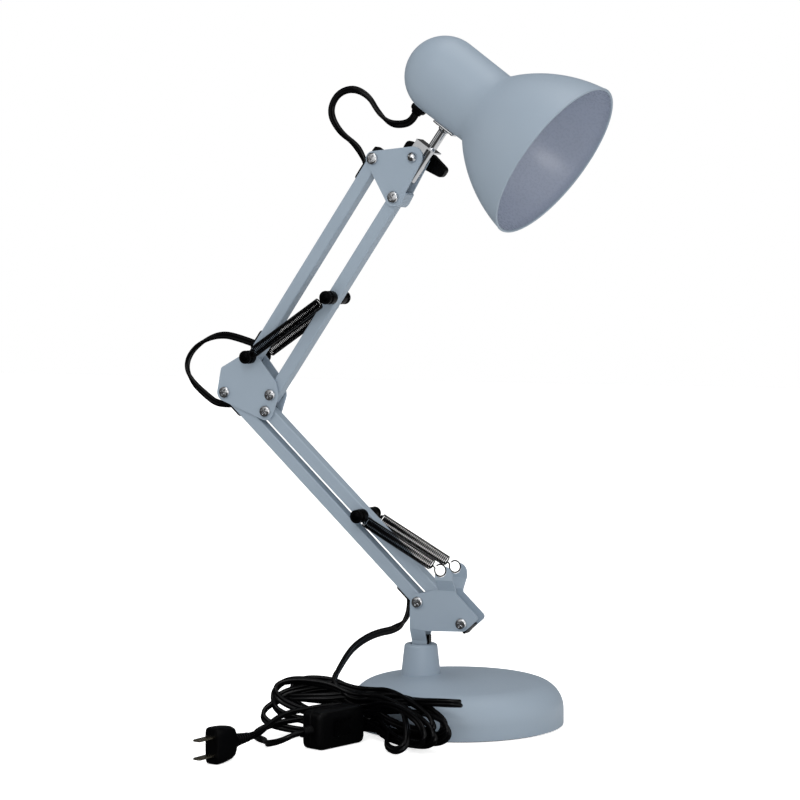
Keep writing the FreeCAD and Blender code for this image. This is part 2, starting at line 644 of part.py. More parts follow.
def fasteners(place, points, washer_points):
    """One body's screws with their nuts, and its washers beside the tubes."""
    kept = []
    for index, point in enumerate(points):
        kept.append(screw("%s_screw_%d" % (place, index), point))
        kept.append(nut("%s_nut_%d" % (place, index), point))
    keep(place + "_screws", group(place + "_screws", kept))
    kept = []
    for index, point in enumerate(washer_points):
        kept += washers("%s_washer_%d_" % (place, index), point)
    keep(place + "_washers", group(place + "_washers", kept))


fasteners("lower", (L1, L2), (L1, L2))

# Arms: square tubes with pivot holes, cord slots in the rear tubes and end plugs

def arm_tube(label, start, length, angle, slots=False, middle_hole=False):
    """A square tube, pivot to pivot, lying along its own X axis before it is placed."""
    half = "tube / 2 - tube_round"
    half_in = "tube / 2 - tube_wall - tube_round / 2"
    total = "%s + 2 * tube_end" % length

    def section(sketch):
        add_hull(sketch, (("-(%s)" % half, "-(%s)" % half, "tube_round"),
                          (half, "-(%s)" % half, "tube_round"),
                          (half, half, "tube_round"), ("-(%s)" % half, half, "tube_round")))
        add_hull(sketch, (("-(%s)" % half_in, "-(%s)" % half_in, "tube_round / 2"),
                          (half_in, "-(%s)" % half_in, "tube_round / 2"),
                          (half_in, half_in, "tube_round / 2"),
                          ("-(%s)" % half_in, half_in, "tube_round / 2")))

    def holes(sketch):
        add_circle(sketch, "tube_end", "0", HOLE)
        add_circle(sketch, "tube_end + %s" % length, "0", HOLE)
        if middle_hole:
            add_circle(sketch, "tube_end + %s / 2" % length, "0", "spool_bolt + running_gap")

    body = pierced(padded(label + "_body", "YZ_Plane", total, section), "XZ_Plane", holes)
    if slots:
        openings = []
        for end, place in (("low", "tube_end + slot_start"),
                           ("high", "tube_end + %s - slot_start - slot_length" % length)):
            openings.append(box(label + "_slot_" + end, "slot_length", "slot_width", "tube / 2",
                                x=place, y="-slot_width / 2", z="tube / 4"))
        body = cut(label, body, openings)
    x, z = plus(start, "-tube_end", angle)
    return keep(label, put(body, x=x, z=z, turn=angle, axis=ARM_TURN))


def end_plugs(label, start, length, angle, ends):
    """Moulded plugs that close a tube: a round cap outside, a stub inside."""
    stub = "(tube - 2 * tube_wall - 2 * plug_play)"
    kept = []
    for end in ends:
        cap = box("%s_cap_%s" % (label, end), "plug_cap", "tube", "tube", y="-tube / 2", z="-tube / 2")
        inside = box("%s_stub_%s" % (label, end), "plug_length", stub, stub, x="plug_cap",
                     y="-%s / 2" % stub, z="-%s / 2" % stub)
        bore = cylinder("%s_bore_%s" % (label, end), HOLE, "2 * tube",
                        x="plug_cap + tube_end", y="-tube", along="y")
        item = cut("%s_%s" % (label, end), fuse("%s_%s_solid" % (label, end), [cap, inside]), [bore])
        if end == "low":
            x, z = plus(start, "-(tube_end + plug_cap)", angle)
            put(item, x=x, z=z, turn=angle, axis=ARM_TURN)
        else:
            x, z = plus(start, "(%s + tube_end + plug_cap)" % length, angle)
            put(item, x=x, z=z, turn="180 - %s" % angle)
        kept.append(item)
    return keep(label, group(label, kept))


def spools(name, point, face, bolt):
    """Moulded bobbins that hold the spring hooks, one on each side."""
    groove_out = "(spool_reach - spool_flange)"
    groove_in = "(%s - spool_groove)" % groove_out
    made = []
    for side in ("near", "far"):
        def disc(part, radius, low, high, side=side):
            start = "-(%s)" % high if side == "near" else low
            return cylinder("%s_%s_%s" % (name, side, part), radius, "(%s) - (%s)" % (high, low),
                            x=point[0], y=start, z=point[1], along="y")
        solid = fuse("%s_%s_solid" % (name, side), [
            disc("barrel", "spool_radius", face, groove_in),
            disc("core", "spool_core", groove_in, groove_out),
            disc("flange", "spool_radius", groove_out, "spool_reach")])
        hole = disc("hole", bolt + " + running_gap", "%s - overrun" % face, "spool_reach + overrun")
        made.append(cut("%s_%s" % (name, side), solid, [hole]))
    return made


def spool_bolt(name, point, bolt):
    """The bolt that carries both spools, with a low head at each end."""
    solids = [cylinder(name + "_shaft", bolt, "2 * spool_reach", x=point[0], y="-spool_reach",
                       z=point[1], along="y")]
    for side, y in (("near", "-spool_reach - spool_head_height"), ("far", "spool_reach")):
        solids.append(cylinder(name + "_head_" + side, "spool_head", "spool_head_height",
                               x=point[0], y=y, z=point[1], along="y"))
    return fuse(name, solids)


arm_tube("lower_rear_tube", L1, "lower_length", "lower_angle", slots=True)
arm_tube("lower_front_tube", L2, "lower_length", "lower_angle", middle_hole=True)
end_plugs("lower_front_plugs", L2, "lower_length", "lower_angle", ("low",))
keep("lower_spools", group("lower_spools", spools("low_spool", SPOOL_LOW, TUBE_SIDE, "spool_bolt")))
keep("lower_spool_bolt", spool_bolt("lower_spool_bolt", SPOOL_LOW, "spool_bolt"))

# Elbow: two plates that join the parallelograms, with the spools of the upper springs

elbow_outline = (
    (P1[0], P1[1], "screw_head_radius + 2 * plate"),
    (P2[0], P2[1], "screw_head_radius + 2 * plate"),
    (P3[0], P3[1], "screw_head_radius + 2 * plate"),
    (P3[0] + " + elbow_front_x", P3[1] + " + elbow_front_z", "2 * plate"),
    (P4[0], P4[1], "spool_radius"),
    (P1[0] + " - plate", P1[1] + " + elbow_back", "2 * plate"),
)
elbow_near = sheet_plate("elbow_plate_near", elbow_outline, (
    (P1[0], P1[1], HOLE), (P2[0], P2[1], HOLE), (P3[0], P3[1], HOLE),
    (P4[0], P4[1], HOLE)), HALF_GAP)
keep("elbow_plate_near", elbow_near)
keep("elbow_plate_far", mirrored("elbow_plate_far", elbow_near))
fasteners("elbow", (P1, P2, P3), (P1, P2, P3, P4))
keep("elbow_spools", group("elbow_spools", spools("elbow_spool", P4, PLATE_FACE, "screw_radius")))
keep("elbow_spool_bolt", spool_bolt("elbow_spool_bolt", P4, "screw_radius"))

arm_tube("upper_rear_tube", P4, "upper_length", "upper_angle", slots=True)
end_plugs("upper_rear_plugs", P4, "upper_length", "upper_angle", ("high",))
arm_tube("upper_front_tube", P3, "upper_length", "upper_angle", middle_hole=True)
keep("upper_spools", group("upper_spools", spools("high_spool", SPOOL_HIGH, TUBE_SIDE, "spool_bolt")))
keep("upper_spool_bolt", spool_bolt("upper_spool_bolt", SPOOL_HIGH, "spool_bolt"))

# Springs: plain closed sleeves of the coil's size with a hook ring at each end

def spring(label, start, end, side):
    """A spring from one hook ring to the other, modelled at rest."""
    first = spot(start)
    last = spot(end)
    length = (last - first).Length
    angle = math.degrees(math.atan2(last.z - first.z, last.x - first.x))
    wire = value("spring_wire")
    lead = value("spring_lead")
    radius = value("spring_radius")
    hook = value("spool_core + fit_gap + spring_wire / 2")
    coil = length - 2 * lead
    sleeve = Part.makeCylinder(radius, coil, Vector(lead, 0, 0), Vector(1, 0, 0))
    hollow = Part.makeCylinder(radius - wire, coil - 2 * wire, Vector(lead + wire, 0, 0), Vector(1, 0, 0))
    shape = sleeve.cut(hollow)
    for centre, way in ((0, 1), (length, -1)):
        ring = Part.makeTorus(hook, wire / 2, Vector(centre, 0, 0), Vector(0, 1, 0))
        reach = lead + wire / 2 - hook
        tail = Part.makeCylinder(wire / 2, reach, Vector(centre + way * hook, 0, 0), Vector(way, 0, 0))
        shape = shape.fuse([ring, tail])
    item = doc.addObject("Part::Feature", label)
    item.Shape = shape.removeSplitter()
    turn = Rotation(Vector(0, 1, 0), -angle)
    item.Placement = Placement(first + Vector(0, side * value("spring_plane"), 0), turn)
    return keep(label, item)


for side, sign in (("near", -1), ("far", 1)):
    spring("lower_spring_" + side, SPOOL_LOW, LOOP_EAR, sign)
    spring("upper_spring_" + side, P4, SPOOL_HIGH, sign)

# Head bracket: two triangular plates, tilt bolt with a wing nut on the far side

head_outline = (
    (H2[0], H2[1], "web_radius"),
    (H3[0], H3[1], "screw_head_radius + tilt_margin"),
    (H1[0], H1[1], "screw_head_radius + plate"),
)
head_near = sheet_plate("head_plate_near", head_outline, (
    (H1[0], H1[1], HOLE), (H2[0], H2[1], HOLE), (H3[0], H3[1], HOLE)), HALF_GAP)
keep("head_plate_near", head_near)
keep("head_plate_far", mirrored("head_plate_far", head_near))


def web_layer(name, grow):
    """The plates' outline between the front pivot and the tilt bolt, grown and as wide as the bracket."""
    discs = ((H2[0], H2[1], "web_radius + " + grow),
             (H3[0], H3[1], "screw_head_radius + tilt_margin + " + grow))
    return padded(name, "XZ_Plane", "2 * (%s)" % PLATE_FACE, lambda sketch: add_hull(sketch, discs),
                  middle=True)


web = cut("web_shell", web_layer("web_outside", "running_gap + plate"),
          [web_layer("web_inside", "running_gap")])
web_room = box("web_room", "2 * web_radius", "2 * (%s) + 2 * overrun" % PLATE_FACE, "web_reach")
put(web_room, H2[0], "-(%s) - overrun" % PLATE_FACE, H2[1], "web_angle")
head_web = doc.addObject("Part::MultiCommon", "head_web")
head_web.Shapes = [web, web_room]
keep("head_web", head_web)
fasteners("head", (H1, H2), (H1, H2))
bolt_head = doc.addObject("Part::Sphere", "tilt_bolt_head_ball")
bind(bolt_head, Radius="tilt_head_radius")
put(bolt_head, H3[0], "-(%s)" % PLATE_FACE, H3[1])
bolt_trim = box("tilt_bolt_trim", "4 * nut_radius", "4 * nut_radius", "4 * nut_radius",
                x=H3[0] + " - 2 * nut_radius", y="-(%s)" % PLATE_FACE, z=H3[1] + " - 2 * nut_radius")
bolt_shaft = cylinder("tilt_bolt_shaft", "screw_radius",
                      "2 * (%s) + fit_gap + hub_height / 2" % PLATE_FACE,
                      x=H3[0], y="-(%s)" % PLATE_FACE, z=H3[1], along="y")
keep("tilt_bolt", fuse("tilt_bolt", [cut("tilt_bolt_dome", bolt_head, [bolt_trim]), bolt_shaft]))

HUB_FACE = PLATE_FACE + " + fit_gap"


def wing_outline(way):
    """One wing of the nut, way 1 or -1 along its own X axis."""
    tip = "(%d * (wing_reach - wing_round))" % way
    root = "(%d * hub_radius / 2)" % way
    corners = [(root, "-wing_root / 2 + wing_round"), (tip, "-wing_tip / 2 + wing_round"),
               (tip, "wing_tip / 2 - wing_round"), (root, "wing_root / 2 - wing_round")]
    if way < 0:
        corners = corners[::-1]
    return tuple((x, z, "wing_round") for x, z in corners)


wings = [padded("wing_%d" % (way + 1), "XZ_Plane", "wing_height",
                lambda sketch, way=way: add_hull(sketch, wing_outline(way))) for way in (1, -1)]
for wing in wings:
    put(wing, y="hub_height")
hub = cylinder("wing_hub", "hub_radius", "hub_height", along="y")
hub_hole = cylinder("wing_hub_hole", HOLE, "hub_height / 2 + 2 * overrun", y="-overrun", along="y")
wing_nut = cut("wing_nut", fuse("wing_nut_solid", wings + [hub]), [hub_hole])
keep("wing_nut", put(wing_nut, H3[0], HUB_FACE, H3[1], "wing_angle"))

# Head, in its own frame: Z runs from the mouth's centre to the hood's end, -X to the bracket

HEAD_TURN = "90 - head_pitch"
MOUTH = ("(%s + tilt_along * cos(head_pitch) + tilt_down * sin(head_pitch))" % H3[0],
         "(%s - tilt_along * sin(head_pitch) + tilt_down * cos(head_pitch))" % H3[1])


def in_head(item):
    """Move a piece from the head's frame to the lamp's frame."""
    return put(item, MOUTH[0], "0", MOUTH[1], HEAD_TURN, ARM_TURN)


shade = revolved("shade_skin", (
    ("mouth_radius", "0", "dome_radius", 1),
    ("neck_radius", "dome_depth"),
    ("hood_radius", "hood_end - hood_radius", "hood_radius", 1),
    ("0", "hood_end"),
    ("0", "hood_end - shade_wall", "hood_radius - shade_wall", -1),
    ("hood_radius - shade_wall", "hood_end - hood_radius"),
    ("neck_radius - shade_wall", "dome_depth - shade_wall / 2", "dome_radius - shade_wall", -1),
    ("mouth_radius - shade_wall", "rim_roll"),
    ("mouth_radius - 2 * shade_wall", "rim_roll - shade_wall / 2"),
    ("mouth_radius - 2 * shade_wall", "0"),
))
cord_way = cylinder("hood_cord_hole", "cord / 2 + fit_gap", "hood_radius + overrun",
                    x="-hood_radius - overrun", z="gland_place", along="x")
keep("shade", in_head(cut("shade_pierced", shade, [cord_way])))

FLARE = "(hood_radius - neck_radius) / (hood_end - hood_radius - dome_depth)"
SURFACE = "(neck_radius + " + FLARE + " * (%s - dome_depth))"
ROD_TOP = SURFACE % "rod_place"
rod = cylinder("head_rod_bar", "rod_radius", "rod_end - %s" % ROD_TOP,
               x="-rod_end", z="rod_place", along="x")
foot = box("rod_foot", "foot_height", "foot_width", "foot_length",
           x="-%s - foot_height" % ROD_TOP, y="-foot_width / 2", z="rod_place - foot_length / 2")
foot_seat = cylinder("foot_seat", ROD_TOP + " + fit_gap", "hood_end")
keep("head_rod", in_head(cut("head_rod", fuse("head_rod_solid", [rod, foot]), [foot_seat])))

SADDLE_TOP = "(tilt_down - saddle_rise)"
saddle_width = "(plate_gap - 2 * running_gap)"
plate_top = box("saddle_top", "saddle_wall", saddle_width, "saddle_length",
                x="-%s - saddle_wall / 2" % SADDLE_TOP, y="-%s / 2" % saddle_width,
                z="tilt_along - saddle_length / 2 - rod_radius")
cheeks = []
for side, y in (("near", "-%s / 2" % saddle_width), ("far", "%s / 2 - saddle_wall" % saddle_width)):
    cheeks.append(box("saddle_cheek_" + side, "saddle_rise + saddle_drop", "saddle_wall",
                      "cheek_length", x="-tilt_down - saddle_drop", y=y,
                      z="tilt_along - cheek_length / 2"))
saddle_tools = [
    cylinder("saddle_bolt_hole", HOLE, "2 * plate_gap", x="-tilt_down", y="-plate_gap",
             z="tilt_along", along="y"),
    cylinder("saddle_rod_hole", "rod_radius + running_gap", "rod_end", x="-rod_end",
             z="rod_place", along="x"),
]
keep("head_saddle", in_head(cut("head_saddle", fuse("saddle_solid", [plate_top] + cheeks), saddle_tools)))

GLAND_TOP = SURFACE % "gland_place"
gland_seat = cut("gland_outside", fuse("gland_body", [
    cylinder("gland_flange", "gland_radius", "gland_height", x="-%s - gland_height" % GLAND_TOP,
             z="gland_place", along="x"),
    cylinder("gland_tip", "gland_nose", "gland_nose_height",
             x="-%s - gland_height - gland_nose_height" % GLAND_TOP, z="gland_place", along="x")]),
    [cylinder("gland_seat", GLAND_TOP + " + fit_gap", "hood_end")])
gland_stem = cylinder("gland_stem", "cord / 2 + fit_gap - running_gap", "2 * gland_height",
                      x="-%s - gland_height" % GLAND_TOP, z="gland_place", along="x")
keep("cord_gland", in_head(fuse("cord_gland", [gland_seat, gland_stem])))

# Lamp socket: moulded body, screw shell, centre contact and the disc that carries it

socket_solid = cylinder("socket_solid", "socket_radius", "socket_back - socket_front", z="socket_front")
socket_well = cylinder("socket_well", "socket_thread + shell_wall + running_gap",
                       "shell_length + well_spare", z="socket_front - overrun")
keep("lamp_socket", in_head(cut("lamp_socket", socket_solid, [socket_well])))
shell_solid = cylinder("shell_solid", "socket_thread + shell_wall", "shell_length", z="socket_front")
shell_bore = cylinder("shell_bore", "socket_thread", "shell_length + 2 * overrun",
                      z="socket_front - overrun")
contact = cylinder("socket_contact", "socket_thread / 3", "shell_wall",
                   z="socket_front + shell_length + shell_wall")
contact_post = cylinder("socket_post", "socket_thread / 6", "3 * shell_wall",
                        z="socket_front + shell_length")
keep("socket_shell", in_head(group("socket_shell", [
    cut("socket_sleeve", shell_solid, [shell_bore]),
    fuse("socket_contact_set", [contact, contact_post])])))
carrier_disc = cylinder("carrier_disc", "neck_radius - shade_wall - running_gap", "carrier_height",
                        z="socket_front + 2 * overrun")
carrier_hole = cylinder("carrier_hole", "socket_radius + running_gap", "socket_back",
                        z="socket_front - overrun")
carrier_tools = [carrier_hole]
VENTS = 4
for index in range(VENTS):
    vent = cylinder("carrier_vent_%d" % index, "vent_radius", "3 * carrier_height")
    reach = "((neck_radius - shade_wall + socket_radius) / 2)"
    angle = "(vent_angle + 360 * %d / %d)" % (index, VENTS)
    put(vent, "%s * cos(%s)" % (reach, angle), "%s * sin(%s)" % (reach, angle), "socket_front + overrun")
    carrier_tools.append(vent)
keep("socket_carrier", in_head(cut("socket_carrier", carrier_disc, carrier_tools)))

# Inline switch standing on its edge, with a rocker in its face


def on_table(item, place):
    """Stand a piece on the table at the inline switch or at the mains plug."""
    if place == "switch":
        return put(item, "switch_x", "-base_radius - switch_clear", "0", "switch_turn", (0, 0, 1))
    return put(item, "plug_x", "-base_radius - plug_clear", "0", "plug_turn", (0, 0, -1))


def rounded(sketch, width, height, radius):
    """A rounded rectangle with its lower left corner at the origin."""
    low = radius
    right = "%s - %s" % (width, radius)
    top = "%s - %s" % (height, radius)
    add_hull(sketch, ((low, low, radius), (right, low, radius), (right, top, radius), (low, top, radius)))


switch_body = padded("switch_block", "XZ_Plane", "switch_height",
                     lambda sketch: rounded(sketch, "switch_length", "switch_width", "switch_round"),
                     reverse=True)
rocker_well = box("rocker_well", "rocker_length + 2 * rocker_play", "rocker_drop + 3 * overrun",
                  "rocker_width + 2 * fit_gap",
                  x="(switch_length - rocker_length) / 2 - rocker_play", y="-overrun",
                  z="(switch_width - rocker_width) / 2 - fit_gap")
switch_reliefs = [
    cylinder("switch_relief_near", "relief_radius", "relief_length / 2", x="-relief_length / 2",
             y="switch_height / 2", z="switch_width / 2", along="x"),
    cylinder("switch_relief_near_tip", "relief_tip", "relief_length", x="-relief_length",
             y="switch_height / 2", z="switch_width / 2", along="x"),
    cylinder("switch_relief_far", "relief_tip", "relief_short", x="switch_length",
             y="switch_height / 2", z="switch_width / 2", along="x"),
]
PIN_REACH = "((switch_width - rocker_width) / 2 - rocker_pin_reach)"


def hinge_pin(name, radius, beyond):
    """The rocker's hinge pins as one bar through the well, or the hole for them."""
    return cylinder(name, radius, "rocker_width + 2 * rocker_pin_reach + 2 * (%s)" % beyond,
                    x="switch_length / 2", y="rocker_hinge", z="%s - (%s)" % (PIN_REACH, beyond))


switch_solid = fuse("switch_solid", [switch_body] + switch_reliefs)
hinge_hole = hinge_pin("hinge_hole", "rocker_pin + running_gap", "fit_gap")
keep("switch_shell", on_table(cut("switch_shell", switch_solid, [rocker_well, hinge_hole]), "switch"))


def draw_rocker(sketch):
    """Section of the rocker: a shallow V on the outside, seen along its hinge."""
    high = "-(rocker_hinge + rocker_rise + rocker_length / 2 * tan(rocker_tilt))"
    low = "rocker_drop - rocker_hinge"
    add_outline(sketch, (("-rocker_length / 2", high), ("0", "-(rocker_hinge + rocker_rise)"),
                         ("rocker_length / 2", high), ("rocker_length / 2", low),
                         ("-rocker_length / 2", low)))


rocker = padded("rocker_block", "XY_Plane", "rocker_width", draw_rocker)
put(rocker, "switch_length / 2", "rocker_hinge", "(switch_width - rocker_width) / 2",
    "rocker_tilt", (0, 0, 1))
rocker_bar = hinge_pin("rocker_bar", "rocker_pin", "0")
keep("switch_rocker", on_table(fuse("switch_rocker", [rocker, rocker_bar]), "switch"))

# Mains plug standing on its edge

plug_block = padded("plug_block", "XZ_Plane", "plug_height",
                    lambda sketch: rounded(sketch, "plug_body", "plug_width", "switch_round"),
                    reverse=True)
put(plug_block, y="-plug_height / 2")
plug_reliefs = [
    cylinder("plug_relief_root", "plug_step", "plug_relief / 3", x="-plug_relief / 3",
             z="plug_width / 2", along="x"),
    cylinder("plug_relief_middle", "relief_radius", "2 * plug_relief / 3", x="-2 * plug_relief / 3",
             z="plug_width / 2", along="x"),
    cylinder("plug_relief_tip", "relief_tip", "plug_relief", x="-plug_relief",
             z="plug_width / 2", along="x"),
]
keep("plug_body", on_table(fuse("plug_moulding", [plug_block] + plug_reliefs), "plug"))
blades = [box("plug_blade_%d" % side, "blade_length", "blade_width", "blade_thickness", x="plug_body",
              y="-blade_width / 2", z="plug_width / 2 + %d * blade_pitch / 2 - blade_thickness / 2" % side)
          for side in (-1, 1)]
keep("plug_blades", on_table(group("plug_blades", blades), "plug"))

# Cords: plain round tubes, straight runs joined by tangent arcs, points chosen by hand


def cord_solid(name, points, shared):
    """The tube along a route of points. Arcs take 0.45 of the shorter run on each side of a corner.

    shared tells whether the first and the last run are halves of a run that goes on in the next piece."""
    spots = [Vector(*point) for point in points]
    gap = value("cord_gap")
    spots[0] += (spots[1] - spots[0]).normalize() * gap
    spots[-1] += (spots[-2] - spots[-1]).normalize() * gap
    radius = value("cord / 2")
    edges = []
    radii = []
    here = spots[0]
    for index, (before, corner, after) in enumerate(zip(spots, spots[1:], spots[2:])):
        back = before - corner
        on = after - corner
        back_run = back.Length * (2 if shared[0] and index == 0 else 1)
        on_run = on.Length * (2 if shared[1] and index == len(spots) - 3 else 1)
        reach = ARC_SHARE * min(back_run, on_run)
        half_turn = (math.pi - back.getAngle(on)) / 2
        radii.append(reach / math.tan(half_turn))
        start = corner + back.normalize() * reach
        end = corner + on.normalize() * reach
        inward = (back + on).normalize()
        depth = radii[-1] / math.cos(half_turn) - radii[-1]
        edges.append(Part.LineSegment(here, start).toShape())
        edges.append(Part.Arc(start, corner + inward * depth, end).toShape())
        here = end
    edges.append(Part.LineSegment(here, spots[-1]).toShape())
    spine = Part.Wire(edges)
    first = spots[1] - spots[0]
    section = Part.Wire([Part.makeCircle(radius, spots[0], first)])
    solid = spine.makePipeShell([section], True, False)
    wanted = math.pi * radius * radius * spine.Length
    if abs(solid.Volume - wanted) > wanted * VOLUME_SHARE:
        raise RuntimeError("%s: volume %.0f instead of %.0f" % (name, solid.Volume, wanted))
    print("%s: length %.1f, arc radii %s" % (name, spine.Length, " ".join("%.1f" % r for r in radii)))
    return solid


ARC_SHARE = 0.45
VOLUME_SHARE = 0.02


def cord(label, points, shared=(False, False), placement=None):
    """A piece of cord as a sub-part of its own."""
    item = doc.addObject("Part::Feature", label)
    item.Shape = cord_solid(label, points, shared)
    if placement is not None:
        item.Placement = placement
    return keep(label, item)


def halfway(first, last):
    return tuple((one + two) / 2 for one, two in zip(first, last))


def arm_cord(label, start, arm):
    """The run inside an arm, in the arm's own frame: out of the low slot, along it, out of the high one."""
    out = value("tube / 2")
    tail = value("cord_tail")
    wave = value("plug_play") * 2
    length = value(arm + "_length")
    low_corner = value(arm + "_low_bend")
    high = length - value(arm + "_high_bend")
    whole = high - low_corner

    def leave(corner, way, slope):
        angle = math.radians(value(slope))
        reach = out / math.sin(angle) + tail
        return (corner + way * reach * math.cos(angle), 0, reach * math.sin(angle))

    points = [leave(low_corner, -1, arm + "_low_slope"), (low_corner, 0, 0)]
    for index, share in enumerate(RUN_SHARES):
        points.append((low_corner + share * whole, 0, wave if index % 2 else -wave))
    points += [(high, 0, 0), leave(high, 1, arm + "_high_slope")]
    placement = Placement(spot(start), Rotation(Vector(*ARM_TURN), value(arm + "_angle")))
    cord(label, points, placement=placement)
    return placement.multVec(Vector(*points[0])), placement.multVec(Vector(*points[-1]))


RUN_SHARES = (0.08, 0.24, 0.5, 0.76, 0.92)
low_foot, low_top = arm_cord("cord_lower_run", L1, "lower")
high_foot, high_top = arm_cord("cord_upper_run", P4, "upper")

# Loops between the parts: each piece bridges one joint


def beside(pivot, x, y, z):
    """A route point given from a pivot."""
    return tuple(spot(pivot) + Vector(x, y, z))


def before_rim(x, y, z):
    """A point on the table, its distance in front of the base's rim given as y."""
    return (x, value("-base_radius") - y, z)


gland_tip = "(%s + gland_height + gland_nose_height)" % GLAND_TOP
gland_x = MOUTH[0] + " - gland_place * cos(head_pitch) - %s * sin(head_pitch)" % gland_tip
gland_z = MOUTH[1] + " + gland_place * sin(head_pitch) - %s * cos(head_pitch)" % gland_tip
head_loop = (
    (value(gland_x), 0, value(gland_z)),
    beside(H1, 29.6, 0, 27.9),
    beside(H1, 20.7, 0, 25.8),
    beside(H1, 10.7, 0, 27.2),
    beside(H1, 1.2, 0, 35.9),
    beside(H1, -6.8, 0, 48.9),
    beside(H1, -20.8, 0, 55.7),
    beside(H1, -34.8, 0, 51.2),
    beside(H1, -41.1, 0, 37.4),
    beside(H1, -32.8, 0, 22.6),
    beside(H1, -19.6, 0, 13.0),
    beside(H1, -13.3, 0, 5.1),
    tuple(high_top),
)
split = halfway(head_loop[4], head_loop[5])
cord("cord_head_gland", head_loop[:5] + (split,), (False, True))
second_split = halfway(head_loop[7], head_loop[8])
cord("cord_head_middle", (split,) + head_loop[5:8] + (second_split,), (True, True))
cord("cord_head_arm", (second_split,) + head_loop[8:], (True, False))

elbow_loop = (
    tuple(high_foot),
    beside(P1, 10.0, 0, 43.0),
    beside(P1, -6.2, 0, 46.2),
    beside(P1, -22.7, 0, 41.5),
    beside(P1, -36.2, 0, 31.0),
    beside(P1, -40.4, 0, 18.5),
    beside(P1, -33.7, 0, 6.8),
    beside(P1, -21.2, 0, -3.2),
    (low_top.x - value("foot_drop"), 0, low_top.z),
    tuple(low_top),
)
split = halfway(elbow_loop[3], elbow_loop[4])
cord("cord_elbow_upper", elbow_loop[:4] + (split,), (False, True))
cord("cord_elbow_lower", (split,) + elbow_loop[4:], (True, False))

foot_end = before_rim(-59.3, 4.5, 45.4)
foot_loop = (
    tuple(low_foot),
    (low_foot.x, 0, low_foot.z - value("foot_drop")),
    beside(L1, -16.6, -9.0, -21.6),
    beside(L1, -27.1, -25.0, -23.1),
    beside(L1, -32.6, -45.0, -28.6),
    before_rim(-61.8, -15.5, 55.5),
    foot_end,
)
split = halfway(foot_loop[3], foot_loop[4])
cord("cord_foot_bracket", foot_loop[:4] + (split,), (False, True))
cord("cord_foot_base", (split,) + foot_loop[4:], (True, False))

# Hank: the folded spare cord on the table as one closed solid, two fans and a tied neck

# Sections: x, middle in front of the rim, middle height, half width, half height
HANK = (
    (-122.0, 36.5, 13.0, 10.0, 11.0),
    (-104.0, 33.5, 22.0, 30.0, 21.0),
    (-84.0, 31.5, 26.0, 35.0, 26.0),
    (-73.0, 28.5, 26.0, 29.0, 25.0),
    (-60.0, 16.5, 24.0, 12.0, 17.0),
    (-46.0, 5.5, 18.0, 5.8, 8.0),
    (-28.0, 5.5, 18.0, 5.8, 8.0),
    (-10.0, 21.5, 17.0, 13.0, 14.0),
    (16.0, 30.5, 19.0, 21.0, 19.0),
    (34.0, 31.5, 17.0, 18.0, 16.0),
    (50.0, 30.5, 12.0, 9.0, 9.0),
)
HANK_CORNERS = 16


def hank_body():
    """A closed solid through the sections, ruled between neighbours."""
    rings = []
    for x, clear, z, half_width, half_height in HANK:
        middle = before_rim(x, clear, z)
        ring = []
        for index in range(HANK_CORNERS):
            turn = 2 * math.pi * index / HANK_CORNERS
            out = Vector(0, half_width * math.cos(turn), half_height * math.sin(turn))
            ring.append(Vector(*middle) + out)
        rings.append(Part.makePolygon(ring + ring[:1]))
    return Part.makeLoft(rings, True, True)


def stub(face, along, length):
    """A short round end of the cord that comes out of the hank, from its face inwards."""
    way = Vector(*along).normalize()
    return Part.makeCylinder(value("cord / 2"), value(length), Vector(*face) + way * value("cord_gap"), way)


def toward(start, end):
    return Vector(*end) - Vector(*start)


def at_table(place, x, y, z):
    """A point given in the switch's or the plug's own frame."""
    turn = value("switch_turn") if place == "switch" else -value("plug_turn")
    origin = Vector(*before_rim(value(place + "_x"), value(place + "_clear"), 0))
    rotation = Rotation(Vector(0, 0, 1), turn)
    return tuple(origin + rotation.multVec(Vector(x, y, z)))


plug_lead = (
    at_table("plug", value("-plug_relief"), 0, value("plug_width / 2")),
    at_table("plug", value("-plug_relief - lead_straight"), 0, value("plug_width / 2")),
    before_rim(-82.2, 82.0, 11.0),
    before_rim(-84.3, 73.5, 10.0),
    before_rim(-86.0, 64.5, 12.0),
)
cord("cord_plug_lead", plug_lead)

switch_lead = (
    at_table("switch", value("-relief_length"), value("switch_height / 2"), value("switch_width / 2")),
    at_table("switch", value("-relief_length - lead_straight"), value("switch_height / 2"),
             value("switch_width / 2")),
    before_rim(-61.5, 82.1, 10.2),
    before_rim(-70.5, 80.0, 9.0),
    before_rim(-76.0, 72.5, 10.6),
    before_rim(-79.0, 65.0, 13.4),
)
cord("cord_switch_lead", switch_lead)

switch_end = switch_lead[0]
far_end = at_table("switch", value("switch_length + relief_short"), value("switch_height / 2"),
                   value("switch_width / 2"))
hank = hank_body().fuse([
    stub(foot_end, toward(foot_loop[-2], foot_end), "hank_stub"),
    stub(plug_lead[-1], toward(plug_lead[-2], plug_lead[-1]), "hank_stub"),
    stub(switch_lead[-1], toward(switch_lead[-2], switch_lead[-1]), "hank_stub"),
    stub(far_end, toward(switch_end, far_end), "far_stub"),
])
hank_item = doc.addObject("Part::Feature", "cord_hank")
hank_item.Shape = hank
keep("cord_hank", hank_item)

# Check every object, then write the sub-parts

doc.recompute()
for item in doc.Objects:
    if "Invalid" in item.State or "Error" in item.State:
        raise RuntimeError("%s did not compute: %s" % (item.Name, item.State))
for item in parts:
    if item.Shape.isNull() or not item.Shape.isValid() or not item.Shape.Solids:
        raise RuntimeError("%s has no valid solid" % item.Label)

